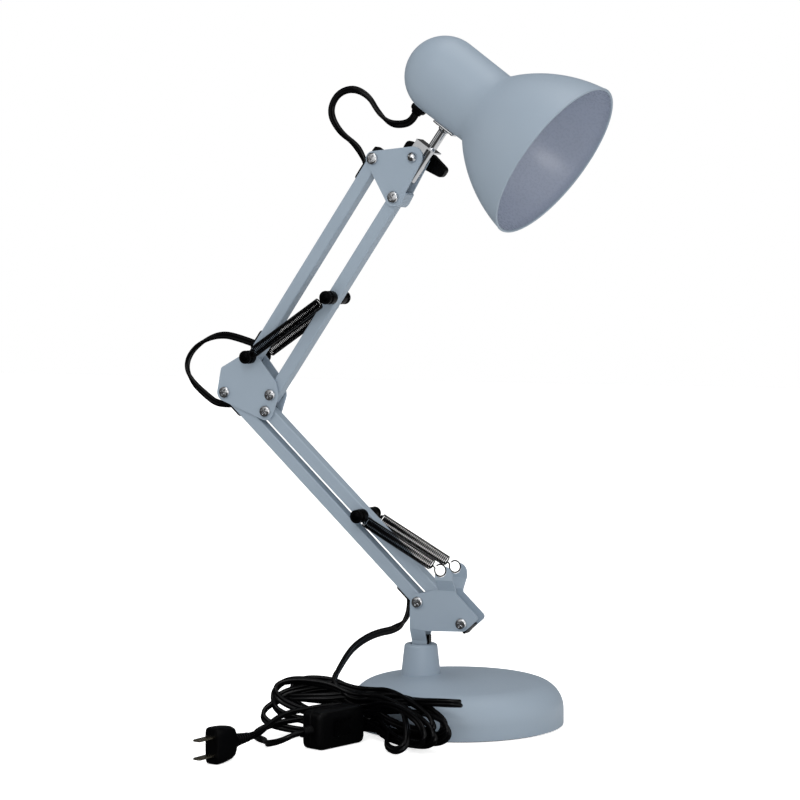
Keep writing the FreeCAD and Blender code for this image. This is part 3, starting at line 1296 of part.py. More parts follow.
os.makedirs("parts", exist_ok=True)
for item in parts:
    item.Shape.exportStep("parts/%s.step" % item.Label)
print("%d sub-parts" % len(parts))
for item in parts:
    box_now = item.Shape.BoundBox
    print("%-20s solids %d  x %.1f %.1f  y %.1f %.1f  z %.1f %.1f  v %.0f" % (
        item.Label, len(item.Shape.Solids), box_now.XMin, box_now.XMax, box_now.YMin, box_now.YMax,
        box_now.ZMin, box_now.ZMax, item.Shape.Volume))
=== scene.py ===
import math

import bmesh
import bpy
import numpy as np
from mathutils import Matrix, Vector


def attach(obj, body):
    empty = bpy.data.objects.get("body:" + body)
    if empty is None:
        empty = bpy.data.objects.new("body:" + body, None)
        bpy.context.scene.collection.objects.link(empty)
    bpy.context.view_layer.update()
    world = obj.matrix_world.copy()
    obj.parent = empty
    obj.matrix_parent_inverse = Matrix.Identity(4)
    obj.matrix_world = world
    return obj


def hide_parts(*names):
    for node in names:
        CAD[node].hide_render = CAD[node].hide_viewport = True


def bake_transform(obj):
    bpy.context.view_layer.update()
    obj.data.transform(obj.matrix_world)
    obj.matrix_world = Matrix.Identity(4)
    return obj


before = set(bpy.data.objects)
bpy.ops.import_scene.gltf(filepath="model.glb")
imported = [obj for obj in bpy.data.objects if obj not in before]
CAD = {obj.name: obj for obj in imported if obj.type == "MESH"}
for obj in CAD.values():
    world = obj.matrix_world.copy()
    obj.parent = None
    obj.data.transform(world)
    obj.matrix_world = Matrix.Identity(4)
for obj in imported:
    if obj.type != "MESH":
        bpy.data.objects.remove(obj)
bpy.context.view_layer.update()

# Metres in one millimetre
MM = 0.001

# Camera at the photograph's viewing angle

eye = Vector((0.7063, -1.5562, 0.3271))
look_at = Vector((-0.0484, 0.0, 0.2456))
camera_data = bpy.data.cameras.new("camera")
camera_data.sensor_width = 36.0
camera_data.lens = 101.25
camera_data.clip_start = 0.01
camera = bpy.data.objects.new("camera", camera_data)
bpy.context.scene.collection.objects.link(camera)
camera.location = eye
camera.rotation_euler = (look_at - eye).to_track_quat("-Z", "Y").to_euler()
bpy.context.scene.camera = camera
bpy.context.scene.view_settings.view_transform = "Standard"

# Frames: an origin and three directions that a piece's own numbers are placed by


def placed(points, place):
    """Points (a, b, c) of a frame (origin, A, B, C): origin + a A + b B + c C."""
    origin, *axes = [np.asarray(v, float) for v in place]
    return origin + np.asarray(points, float) @ np.array(axes)


def unit(vectors):
    """Each vector divided by its length."""
    return vectors / np.maximum(np.linalg.norm(vectors, axis=-1, keepdims=True), 1e-12)


def in_plane(x, z, degrees, y=0.0):
    """A frame in the arms' plane: A = (cos, 0, sin) of the angle, B = (-sin, 0, cos), C = far side."""
    c, s = math.cos(math.radians(degrees)), math.sin(math.radians(degrees))
    return ((x, y, z), (c, 0, s), (-s, 0, c), (0, 1, 0))


NEAR_SIDE = ((1, 0, 0), (0, 0, 1), (0, -1, 0))
FAR_SIDE = ((1, 0, 0), (0, 0, -1), (0, 1, 0))
HEAD = ((0.0, 1.0, 0.0), (0.59342, 0.0, 0.80489), (-0.80489, 0.0, 0.59342))
MOUTH = (0.079595, 0.0, 0.424998)
PIVOTS = {
    "lower_rear": (-0.0299, 0.0911), "lower_front": (0.00688, 0.07669),
    "elbow_rear": (-0.19985, 0.24903), "elbow_low": (-0.16307, 0.23461),
    "elbow_front": (-0.15862, 0.24764), "elbow_high": (-0.17618, 0.27734),
    "head_rear": (-0.06823, 0.43064), "head_front": (-0.05067, 0.40095),
    "tilt": (-0.03453, 0.43084), "low_spool": (-0.07810, 0.15565),
    "high_spool": (-0.10464, 0.32429), "ear": (-0.0079, 0.1176),
}

# The arms' angles, and the tubes' half width and the plates' outer faces from the arms' plane
LOWER_ANGLE, UPPER_ANGLE = 137.1, 54.85
TUBE_HALF, PLATE_FACE = 5.0, 7.2

# Surfaces: grids of points, closed into clean skins


def cells(rows, columns, loop_rows, loop_columns, first):
    """Corner numbers of a grid's cells: (i, j), (i+1, j), (i+1, j+1), (i, j+1)."""
    i, j = np.meshgrid(np.arange(rows - (not loop_rows)), np.arange(columns - (not loop_columns)),
                       indexing="ij")
    k, m = (i + 1) % rows, (j + 1) % columns
    corners = np.stack([i * columns + j, k * columns + j, k * columns + m, i * columns + m], -1)
    return first + corners.reshape(-1, 4)


def piece(name, surfaces, finishes, body, replaces=(), crease=32):
    """One named piece from grids (points, rows close, columns close, finish number)."""
    points, faces, marks, first = [], [], [], 0
    for grid, loop_rows, loop_columns, mark in surfaces:
        rows, columns = grid.shape[:2]
        made = cells(rows, columns, loop_rows, loop_columns, first)
        points.append(grid.reshape(-1, 3))
        faces.append(made)
        marks.append(np.full(len(made), mark))
        first += rows * columns
    mesh = bpy.data.meshes.new(name)
    mesh.from_pydata(np.concatenate(points).tolist(), [], np.concatenate(faces).tolist())
    for finish in finishes if isinstance(finishes, (list, tuple)) else [finishes]:
        mesh.materials.append(finish)
    mesh.polygons.foreach_set("material_index", np.concatenate(marks).astype(np.int32))
    skin = bmesh.new()
    skin.from_mesh(mesh)
    bmesh.ops.remove_doubles(skin, verts=skin.verts, dist=2e-6)
    bmesh.ops.dissolve_degenerate(skin, edges=skin.edges, dist=1e-7)
    bmesh.ops.recalc_face_normals(skin, faces=skin.faces)
    skin.to_mesh(mesh)
    skin.free()
    mesh.shade_smooth()
    mesh.set_sharp_from_angle(angle=math.radians(crease))
    made = bpy.data.objects.new(name, mesh)
    bpy.context.scene.collection.objects.link(made)
    if body:
        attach(made, body)
    if replaces:
        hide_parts(*replaces)
    return made


def eased(corners, radii, steps=6, closed=False):
    """An outline with soft corners: (1-t)^2 a + 2t(1-t) c + t^2 b, a and b one radius off corner c."""
    c = np.array(corners, float)
    before, after = np.roll(c, 1, axis=0), np.roll(c, -1, axis=0)
    if not closed:
        before[0], after[-1] = c[0], c[-1]
    r = np.broadcast_to(np.asarray(radii, float), (len(c),))[:, None]

    def off(other):
        gap = np.linalg.norm(other - c, axis=1, keepdims=True)
        return c + (other - c) * np.minimum(r / np.maximum(gap, 1e-12), 0.5)

    a, b = off(before)[:, None], off(after)[:, None]
    t = np.linspace(0, 1, steps)[None, :, None]
    return ((1 - t) ** 2 * a + 2 * t * (1 - t) * c[:, None] + t ** 2 * b).reshape(-1, c.shape[1])


def turned(profile, place, around=48, mark=0):
    """A lathe surface: a profile (radius r, height h) gives (r cos u, r sin u, h) in its frame."""
    profile = np.asarray(profile, float) * MM
    u = np.linspace(0, 2 * np.pi, around, endpoint=False)
    r, h = profile[:, :1], profile[:, 1:]
    grid = np.stack([r * np.cos(u), r * np.sin(u), h + 0 * u], -1)
    return placed(grid, place), False, True, mark


def slab(outline, layers, place):
    """A plate with worked edges: layers (share, height) give centre + share (outline - centre)."""
    outline = np.asarray(outline, float) * MM
    centre = outline.mean(0)
    share, height = np.asarray(layers, float).T
    rings = centre + share[:, None, None] * (outline - centre)[None]
    tall = np.broadcast_to((height * MM)[:, None, None], rings.shape[:2] + (1,))
    return placed(np.concatenate([rings, tall], -1), place), False, True, 0


def carried(section, path, wide):
    """A section (a, b) along a path p: p + a W + b N, W = wide side square to the run, N = run x W,
    drawn together to the path's own end points."""
    run = unit(np.gradient(path, axis=0))
    across = unit(wide - (wide * run).sum(-1, keepdims=True) * run)
    up = np.cross(run, across)
    section = np.broadcast_to(section, (len(path),) + np.shape(section)[-2:])
    grid = path[:, None] + section[..., :1] * across[:, None] + section[..., 1:] * up[:, None]
    ends = np.repeat(path[[0, -1]][:, None], grid.shape[1], axis=1)
    return np.concatenate([ends[:1], grid, ends[1:]]), False, True, 0


def ring(radius, count):
    """A circle's points: (r cos u, r sin u)."""
    u = np.linspace(0, 2 * np.pi, count, endpoint=False)
    return np.stack([radius * np.cos(u), radius * np.sin(u)], -1)


# Finishes


def colour(code):
    """A written sRGB colour as linear light: ((c + 0.055) / 1.055)^2.4, or c / 12.92 when dark."""
    c = np.array([int(code[k:k + 2], 16) for k in (1, 3, 5)]) / 255
    linear = np.where(c <= 0.04045, c / 12.92, ((c + 0.055) / 1.055) ** 2.4)
    return (*linear.tolist(), 1.0)


def node(tree, kind, inputs=(), **settings):
    """Add one node with its settings; inputs are (socket, value or another node's socket)."""
    made = tree.nodes.new(kind)
    for key, value in settings.items():
        setattr(made, key, value)
    for socket, value in inputs:
        if isinstance(value, bpy.types.NodeSocket):
            tree.links.new(value, made.inputs[socket])
        else:
            made.inputs[socket].default_value = value
    return made


def finish(name, light, dark, patch, rough, grain, depth, stretch=(1, 1, 1), **surface):
    """A surface of two near tones in patches, a roughness range and a grain that stands in relief."""
    material = bpy.data.materials.new(name)
    material.use_nodes = True
    tree = material.node_tree
    tree.nodes.clear()
    place = node(tree, "ShaderNodeTexCoord").outputs["Object"]
    cloud = node(tree, "ShaderNodeTexNoise", [("Vector", place), ("Scale", 1 / patch), ("Detail", 4.0)])
    tone = node(tree, "ShaderNodeMix", [(0, cloud.outputs["Fac"]), (6, colour(dark)),
                (7, colour(light))], data_type="RGBA")
    drawn = node(tree, "ShaderNodeMapping", [("Vector", place), ("Scale", stretch)])
    fine = node(tree, "ShaderNodeTexNoise",
                [("Vector", drawn.outputs["Vector"]), ("Scale", 1 / grain), ("Detail", 3.0)])
    gloss = node(tree, "ShaderNodeMapRange", [("Value", fine.outputs["Fac"]), ("From Min", 0.3),
                 ("From Max", 0.7), ("To Min", rough[0]), ("To Max", rough[1])])
    relief = node(tree, "ShaderNodeBump", [("Height", fine.outputs["Fac"]), ("Strength", depth),
                  ("Distance", 0.0003)])
    shader = node(tree, "ShaderNodeBsdfPrincipled", [
        ("Base Color", tone.outputs[2]), ("Roughness", gloss.outputs["Result"]),
        ("Normal", relief.outputs["Normal"])])
    for socket, value in surface.items():
        shader.inputs[socket.replace("_", " ")].default_value = value
    node(tree, "ShaderNodeOutputMaterial", [("Surface", shader.outputs["BSDF"])])
    return material


# Powder-coated steel: satin, even, with a faint orange-peel skin of about 1.5 mm
powder_coat = finish("powder_coat_enamel", "#A2B1BF", "#9CABBA", 0.05, (0.42, 0.52), 0.0015, 0.05)
# Sprayed enamel inside the shade: smoother than the outside, lamps show in it as soft patches; its
# colour is painted lighter than the outer paint, as painted light for the dim inside
lining_painted_lighter = finish("lining_enamel_painted_lighter", "#ABB4C6", "#A4ADC0", 0.06, (0.24, 0.32), 0.002, 0.02,
                      Coat_Weight=0.12, Coat_Roughness=0.2)
# Bright chrome plate over turned steel: clear dark and white reflections, hairline turning marks
chrome_plate = finish("chrome_plated_steel", "#D9DADC", "#C9CBCE", 0.01, (0.07, 0.16), 0.0004, 0.03,
                      Metallic=1.0)
# Black-oxide spring wire: dark metal that still catches a white line on every turn
spring_wire = finish("black_oxide_spring_steel", "#0F0F10", "#0A0A0B", 0.004, (0.24, 0.36), 0.0003,
                     0.05, Metallic=1.0)
# Zinc-plated sheet of the socket carrier: dull with a spangle of about 3 mm
zinc_sheet = finish("zinc_plated_sheet", "#A9ADB0", "#8F9397", 0.003, (0.3, 0.42), 0.001, 0.04,
                    Metallic=1.0)
# Grey cast iron of the hidden weight: rough sand skin with a 0.8 mm grain
cast_iron = finish("sand_cast_iron", "#4B4B4D", "#39393B", 0.008, (0.6, 0.8), 0.0008, 0.35,
                   Metallic=0.6)
# Closed-cell foam under the base: matt, pores of about half a millimetre drawn at 0.9 mm
foam_sheet = finish("closed_cell_foam", "#2B2B2D", "#1F1F21", 0.005, (0.85, 0.95), 0.0009, 0.4)
# Moulded nylon hardware: black, slightly shiny, with a fine eroded grain
black_nylon = finish("moulded_black_nylon", "#060607", "#040405", 0.01, (0.24, 0.36), 0.0008, 0.06,
                     Specular_IOR_Level=0.05)
# Moulded switch case: black, a little shinier on its rounded edges
switch_moulding = finish("moulded_black_abs", "#050506", "#030304", 0.012, (0.3, 0.42), 0.0007, 0.08,
                         Specular_IOR_Level=0.1)
# Rocker key: the same plastic, polished by fingers
rocker_moulding = finish("polished_black_abs", "#060607", "#040405", 0.008, (0.16, 0.24), 0.001, 0.03,
                         Specular_IOR_Level=0.16)
# Flexible PVC of the plug: black with a soft sheen
plug_moulding = finish("moulded_flexible_pvc", "#050506", "#030304", 0.01, (0.3, 0.42), 0.0009, 0.07,
                       Specular_IOR_Level=0.07)
# Extruded PVC of the flat cord: glossy black, faint marks along the run
cord_sheath = finish("extruded_pvc_sheath", "#050506", "#030304", 0.02, (0.16, 0.24), 0.004, 0.02,
                     Specular_IOR_Level=0.13)
# Nickel-plated brass blades: pale warm metal with drawing marks
blade_metal = finish("nickel_plated_brass", "#C2BBA8", "#ADA692", 0.004, (0.16, 0.28), 0.0004, 0.04,
                     stretch=(1, 0.15, 1), Metallic=1.0)
# Rolled brass of the lamp socket's thread
socket_brass = finish("rolled_brass", "#C9A75E", "#B08C45", 0.005, (0.2, 0.32), 0.0005, 0.05,
                      Metallic=1.0)

# Cords: a flat two-core lead, 6 mm wide and 3.2 mm thick

CORD_WIDE, CORE, CORE_PLACE, WEB = 0.006, 0.0016, 0.0014, 0.00105


def lead_section(count=28):
    """Two round cores joined by a web: height = the larger of each core's circle and the web."""
    a = -np.cos(np.linspace(0, np.pi, count // 2 + 1)) * (CORE_PLACE + CORE)
    core = np.sqrt(np.clip(CORE ** 2 - (np.abs(a) - CORE_PLACE) ** 2, 0, None))
    high = np.where(np.abs(a) < CORE_PLACE, np.maximum(core, WEB), core)
    return np.concatenate([np.stack([a, -high], -1), np.stack([a, high], -1)[-2:0:-1]])


def smooth_line(route, step):
    """Points of Blender's own order-3 spline through a route's ends, spread evenly by length."""
    curve = bpy.data.curves.new("line", "CURVE")
    curve.dimensions = "3D"
    curve.resolution_u = 24
    spline = curve.splines.new("NURBS")
    spline.points.add(len(route) - 1)
    spline.points.foreach_set("co", np.c_[np.asarray(route), np.ones(len(route))].ravel())
    spline.order_u = 3
    spline.use_endpoint_u = True
    spline.resolution_u = 24
    holder = bpy.data.objects.new("line", curve)
    mesh = bpy.data.meshes.new_from_object(holder)
    found = np.empty(len(mesh.vertices) * 3)
    mesh.vertices.foreach_get("co", found)
    found = found.reshape(-1, 3)
    bpy.data.objects.remove(holder)
    bpy.data.curves.remove(curve)
    bpy.data.meshes.remove(mesh)
    along = np.r_[0, np.cumsum(np.linalg.norm(np.diff(found, axis=0), axis=1))]
    even = np.linspace(0, along[-1], max(int(along[-1] / step), 8) + 1)
    line = np.stack([np.interp(even, along, found[:, k]) for k in range(3)], -1)
    return line, even


def lay_lead(name, route, wide, twist, body, replaces,
             step=0.0012, crossing=None):
    """The flat lead along a route. Its wide side W is interpolated from one direction per route
    point, then turned by twist = (start, swing, wave length): W cos q + (run x W) sin q."""
    line, even = smooth_line(route, step)
    wide = np.broadcast_to(np.asarray(wide, float), np.shape(route))
    share = np.linspace(0, 1, len(route))
    side = np.stack([np.interp(even / even[-1], share, wide[:, k]) for k in range(3)], -1)
    run = unit(np.gradient(line, axis=0))
    side = unit(side - (side * run).sum(-1, keepdims=True) * run)
    q = (twist[0] + twist[1] * np.sin(2 * np.pi * even / twist[2]))[:, None]
    side = side * np.cos(q) + np.cross(run, side) * np.sin(q)
    made = piece(name, [carried(lead_section(), line, side)], cord_sheath, None if crossing else body,
                 replaces, crease=50)
    if crossing:
        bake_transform(made)


Y_SIDE = (0, 1, 0)
# In the rear tubes, from slot to slot
lower_run = (
    (-.0402, 0, .0909), (-.0402, 0, .1007), (-.0518, 0, .1121), (-.0763, 0, .1335), (-.1142, 0, .1702),
    (-.1536, 0, .2054), (-.1767, 0, .2282), (-.1889, 0, .2389), (-.1993, 0, .2389),
)
upper_run = (
    (-.1781, 0, .2882), (-.1704, 0, .2856), (-.1623, 0, .2962), (-.1479, 0, .3184), (-.1222, 0, .3531),
    (-.0982, 0, .3890), (-.0821, 0, .4101), (-.0749, 0, .4212), (-.0785, 0, .4292),
)
lay_lead("lead_in_lower_arm", lower_run, Y_SIDE, (0, 0, 1), "lower_rear_arm", ["cord_lower_run"])
lay_lead("lead_in_upper_arm", upper_run, Y_SIDE, (0, 0, 1), "upper_rear_arm", ["cord_upper_run"])

# Loops over the joints: edge-on in the middle, the broad side turned out beside the slots
head_gland = (
    (-.0353, 0, .4641), (-.0386, 0, .4585), (-.0475, 0, .4564), (-.0575, 0, .4578), (-.0670, 0, .4665),
    (-.0710, 0, .4730),
)
head_middle = (
    (-.0710, 0, .4730), (-.0750, 0, .4795), (-.0890, 0, .4863), (-.1030, 0, .4818), (-.1062, 0, .4749),
)
head_arm = (
    (-.1062, 0, .4749), (-.1093, 0, .4680), (-.1010, 0, .4532), (-.0878, 0, .4436), (-.0815, 0, .4357),
    (-.0785, 0, .4292),
)
elbow_upper = (
    (-.1781, 0, .2882), (-.1898, 0, .2920), (-.2060, 0, .2952), (-.2225, 0, .2905), (-.2293, 0, .2853),
)
elbow_lower = (
    (-.2293, 0, .2853), (-.2360, 0, .2800), (-.2402, 0, .2675), (-.2335, 0, .2558), (-.2210, 0, .2458),
    (-.2103, 0, .2389), (-.1993, 0, .2389),
)
foot_bracket = (
    (-.0402, 0, .0909), (-.0402, 0, .0799), (-.0465, -.0090, .0695), (-.0570, -.0250, .0680),
    (-.0597, -.0350, .0653),
)
foot_base = (
    (-.0597, -.0350, .0653), (-.0625, -.0450, .0625), (-.0618, -.0660, .0555), (-.0593, -.0860, .0454),
)
loops = (
    ("lead_at_hood", head_gland,
     ((.5, .2, -.8), (.4, .2, -.9), (.1, .3, -.9), (0, .8, -.5), Y_SIDE, Y_SIDE),
     "cord_head_gland", "head", "head_saddle"),
    ("lead_at_head_top", head_middle,
     (Y_SIDE, (0, .8, .5), (-.2, .3, .9), (-.7, .3, .6), (-.9, .3, .3)),
     "cord_head_middle", "head_saddle", "head_bracket"),
    ("lead_at_head_back", head_arm,
     ((-.9, .3, .3), (-1, .2, 0), (-.7, .5, -.5), (-.4, .8, -.4), (-.8, .4, -.5), (-.6, .8, -.2)),
     "cord_head_arm", "head_bracket", "upper_rear_arm"),
    ("lead_at_elbow_top", elbow_upper,
     ((.2, .3, .9), (.2, .2, 1), (.1, .3, .9), (0, .8, .5), Y_SIDE),
     "cord_elbow_upper", "upper_rear_arm", "elbow"),
    ("lead_at_elbow_back", elbow_lower,
     (Y_SIDE, Y_SIDE, (-.3, .9, -.1), (-.7, .4, -.5), (-.6, .2, -.8), (-.2, .3, -.9), (0, .8, -.6)),
     "cord_elbow_lower", "elbow", "lower_rear_arm"),
    ("lead_at_foot_top", foot_bracket,
     (Y_SIDE, (0, 1, .2), (.1, .5, .8), (0, .1, 1), (0, .1, 1)),
     "cord_foot_bracket", "lower_rear_arm", "lower_bracket"),
    ("lead_at_foot", foot_base,
     ((0, .1, 1), (0, 0, 1), (.1, -.1, 1), (.33, -.41, .85)),
     "cord_foot_base", "lower_bracket", "base"),
)
for name, route, wide, old, first_body, second_body in loops:
    lay_lead(name, route, wide, (0, 0, 1), None, [old],
             crossing=(first_body, second_body, route[0], route[-1]))


def fold(leave, back, tip, height, up):
    """Seven points of one loose turn: n + a (tip - n) + c height up, n moving from leave to back."""
    a = np.array((0.26, 0.62, 0.90, 1.00, 0.90, 0.62, 0.26))[:, None]
    c = np.array((0.40, 0.50, 0.36, -0.02, -0.38, -0.50, -0.40))[:, None]
    n = np.array(leave) + np.linspace(0, 1, 7)[:, None] * (np.array(back) - np.array(leave))
    return n + a * (np.array(tip) - n) + c * height * np.array(up)


NECK_LEFT, NECK_RIGHT = -0.0450, -0.0290


def through(y, z, rightwards, lift=0.0):
    """Two points of a pass through the neck of the hank, behind the switch."""
    pair = [(NECK_LEFT, y, z), (NECK_RIGHT, y, z + lift)]
    return pair if rightwards else pair[::-1]


LEAN = (0.0, 0.50, 0.866)
UPRIGHT = (0.0, 0.12, 0.993)
FLAT = (0.0, -0.97, 0.24)
LEFT_SIDE, RIGHT_SIDE = (0.0, -0.45, 0.89), (0.0, -0.55, 0.83)

plug_lead = (
    (-.0823, -.1781, .0130), (-.0813, -.1717, .0130), (-.0802, -.1620, .0142), (-.0792, -.1520, .0180),
    (-.0775, -.1410, .0215), (-.0735, -.1300, .0235), (-.0675, -.1190, .0240), (-.0600, -.1070, .0245),
    (-.0530, -.0975, .0245),
)
switch_lead = (
    (-.0850, -.1455, .0040), (-.0800, -.1560, .0045), (-.0705, -.1625, .0070), (-.0615, -.1640, .0100),
    (-.0545, -.1584, .0140), (-.0527, -.1522, .0140),
)
mains_route = np.concatenate([
    plug_lead, through(-.0880, .0245, True, .002),
    fold((-.029, -.088, .0265), (-.029, -.0835, .030), (.0490, -.1000, .0345), .021, FLAT),
    through(-.0835, .0300, False),
    fold((-.045, -.0835, .030), (-.045, -.0880, .0092), (-.1090, -.1110, .0168), .022, LEAN),
    through(-.0880, .0070, True),
    fold((-.029, -.088, .0155), (-.029, -.0905, .0155), (.0480, -.1170, .0160), -.022, UPRIGHT),
    through(-.0905, .0200, False),
    fold((-.045, -.0905, .0180), (-.045, -.0950, .0310), (-.0970, -.1140, .0360), -.019, LEAN),
    through(-.0930, .0320, True),
    fold((-.029, -.0950, .0300), (-.029, -.0890, .0115), (.0400, -.1240, .0135), .019, UPRIGHT),
    through(-.0890, .0115, False),
    ((-.0570, -.0930, .0170), (-.0720, -.1000, .0140), (-.0880, -.1100, .0125), (-.1010, -.1210, .0085),
     (-.1040, -.1310, .0048), (-.0960, -.1390, .0040)),
    switch_lead,
])
foot_lead = (
    (-.0593, -.0860, .0454), (-.0588, -.0905, .0430), (-.0570, -.0935, .0395), (-.0520, -.0930, .0350),
)
far_lead = (
    (-.0170, -.0850, .0120), (-.0270, -.0835, .0130), (-.0340, -.0860, .0140), (-.0358, -.0900, .0140),
    (-.0361, -.0940, .0140),
)
lamp_route = np.concatenate([
    foot_lead, through(-.0925, .0290, True),
    fold((-.029, -.0925, .029), (-.029, -.0800, .0235), (.0400, -.1090, .0180), .025, UPRIGHT),
    through(-.0810, .0235, False),
    fold((-.045, -.0810, .0235), (-.045, -.0925, .0245), (-.1050, -.1030, .0290), -.033, LEAN),
    through(-.0925, .0245, True),
    fold((-.029, -.0925, .0245), (-.029, -.0835, .0200), (.0340, -.1290, .0140), .022, UPRIGHT),
    through(-.0835, .0185, False),
    fold((-.045, -.0835, .0185), (-.045, -.0810, .0290), (-.0930, -.0960, .0330), -.024, LEAN),
    through(-.0800, .0290, True),
    fold((-.029, -.0800, .0290), (-.029, -.0860, .0130), (.0440, -.1130, .0190), .018, UPRIGHT),
    through(-.0860, .0125, False),
    fold((-.045, -.0860, .0125), (-.045, -.0850, .0350), (-.1000, -.1090, .0250), -.020, LEAN),
    through(-.0850, .0350, True),
    fold((-.029, -.0850, .0350), (-.029, -.0880, .0240), (.0360, -.1180, .0205), .016, UPRIGHT),
    through(-.0880, .0245, False),
    fold((-.045, -.0880, .0250), (-.045, -.0890, .0300), (-.0900, -.1060, .0290), -.015, FLAT),
    through(-.0890, .0320, True),
    ((-.0120, -.0880, .0330), (.0060, -.1080, .0280), (.0180, -.1250, .0190), (.0230, -.1360, .0095),
     (.0170, -.1390, .0044), (.0060, -.1310, .0042), (-.0040, -.1150, .0052), (-.0100, -.0980, .0090)),
    far_lead,
])


def hank_side(route):
    """The wide side's direction: one for the turns left of the neck, another right of it."""
    return np.where(route[:, :1] < (NECK_LEFT + NECK_RIGHT) / 2, LEFT_SIDE, RIGHT_SIDE)


# Screws, nuts, spools, wing nut: turned and pressed hardware

SCREW_RADIUS, SCREW_HEIGHT, CROSS_DEPTH, CROSS_TURN = 4.7, 2.6, 1.25, 0.6


def pan_head(x, z):
    """A pan head with a cross recess: height = dome(r) - depth where |a| or |b| is within the slot."""
    r = np.concatenate([np.linspace(0, 3.0, 16), np.linspace(3.2, 4.5, 7), [SCREW_RADIUS] * 2])[:, None]
    u = np.linspace(0, 2 * np.pi, 64, endpoint=False)[None]
    dome = SCREW_HEIGHT - 0.35 * (r / SCREW_RADIUS) ** 2 - 1.1 * np.clip((r - 3.6) / 1.1, 0, 1) ** 2.2
    a, b = np.abs(r * np.cos(u + CROSS_TURN)), np.abs(r * np.sin(u + CROSS_TURN))
    slot = (np.clip((0.62 - np.minimum(a, b)) / 0.14, 0, 1)
            * np.clip((2.6 - np.maximum(a, b)) / 0.3, 0, 1))
    h = dome - CROSS_DEPTH * slot
    h[-1] = 0
    grid = np.stack([r * np.cos(u), r * np.sin(u), h], -1) * MM
    rim = grid[-1:]
    back = np.concatenate([rim, rim.mean(1, keepdims=True) + 0 * rim])
    place = ((x, -PLATE_FACE * MM, z),) + NEAR_SIDE
    return [(placed(grid, place), False, True, 0), (placed(back, place), False, True, 0)]


def hexagon_nut(x, z):
    """A hexagon nut with turned-off corners, and the screw's end standing out of it."""
    place = ((x, PLATE_FACE * MM, z),) + FAR_SIDE
    outline = eased(ring(4.6, 6), 0.35, 4, closed=True)
    layers = ((0.55, 0), (0.96, 0), (1, 0.35), (1, 2.85), (0.95, 3.2), (0.56, 3.2), (0.55, 0))
    nut = slab(outline, layers, place)
    end = turned(((0, 0), (2.45, 0), (2.5, 3.2), (2.5, 4.0), (2.1, 4.4), (0, 4.4)), place, 32)
    return [nut, end]


for name, spots, body in (("lower_screws", ("lower_rear", "lower_front"), "lower_bracket"),
                          ("elbow_screws", ("elbow_rear", "elbow_low", "elbow_front"), "elbow"),
                          ("head_screws", ("head_rear", "head_front"), "head_bracket")):
    parts = []
    for spot in spots:
        x, z = PIVOTS[spot]
        parts += pan_head(x, z) + hexagon_nut(x, z)
        shank = ((0, -7.3), (2.5, -7.3), (2.5, 7.3), (0, 7.3))
        parts.append(turned(shank, ((x, 0, z),) + FAR_SIDE, 32))
    piece(name + "_dressed", parts, chrome_plate, body, [name])

# Spool from the face it stands on: (radius, distance from the middle plane)


def spool(x, z, face, bore, way):
    """A moulded bobbin: soft-edged barrel, hook groove and flange, bored for its bolt."""
    profile = eased(((bore, face), (5.25, face), (5.25, 11.8), (3.6, 11.8), (3.6, 15.0), (5.25, 15.0),
                     (5.25, 17.0), (bore, 17.0), (bore, face)),
                    (0, .3, .5, .3, .3, .5, .7, .2, 0), 5)
    return turned(profile, ((x, 0, z),) + (FAR_SIDE if way > 0 else NEAR_SIDE), 48)


def bolt_end(x, z, bore, way):
    """A low domed bolt head with a driver slot's rim, over the spool."""
    profile = ((0, TUBE_HALF), (bore - .02, TUBE_HALF), (bore - .02, 17.02), (3.4, 17.02), (3.4, 17.5),
               (3.1, 17.95), (2.4, 18.25), (1.3, 18.4), (1.1, 18.1), (0, 18.1))
    return turned(profile, ((x, 0, z),) + (FAR_SIDE if way > 0 else NEAR_SIDE), 40)


for name, bolt, spot, face, bore, body in (
        ("lower_spools", "lower_spool_bolt", "low_spool", TUBE_HALF, 2.05, "lower_front_arm"),
        ("elbow_spools", "elbow_spool_bolt", "elbow_high", PLATE_FACE, 2.55, "elbow"),
        ("upper_spools", "upper_spool_bolt", "high_spool", TUBE_HALF, 2.05, "upper_front_arm")):
    x, z = PIVOTS[spot]
    piece(name + "_dressed", [spool(x, z, face, bore, way) for way in (1, -1)], black_nylon, body,
          [name])
    shank = ((0, -5.2), (bore - .03, -5.2), (bore - .03, 5.2), (0, 5.2))
    piece(bolt + "_dressed", [bolt_end(x, z, bore, way) for way in (1, -1)]
          + [turned(shank, ((x, 0, z),) + FAR_SIDE, 32)], spring_wire, body, [bolt])

# Springs: close coils of 1.14 mm wire with a ring at each end

# Radii of the coil, its end rings and its wire, and the length that each ring takes
COIL, HOOK, WIRE, LEAD = 3.95, 4.5, 0.57, 7.2
# Length of one turn in the lower and the upper springs, and how far they are from the arms' plane
LOWER_PITCH, UPPER_PITCH, SPRING_PLACE = 1.55, 1.45, 0.0134
PER_TURN, PER_HOOK = 20, 40


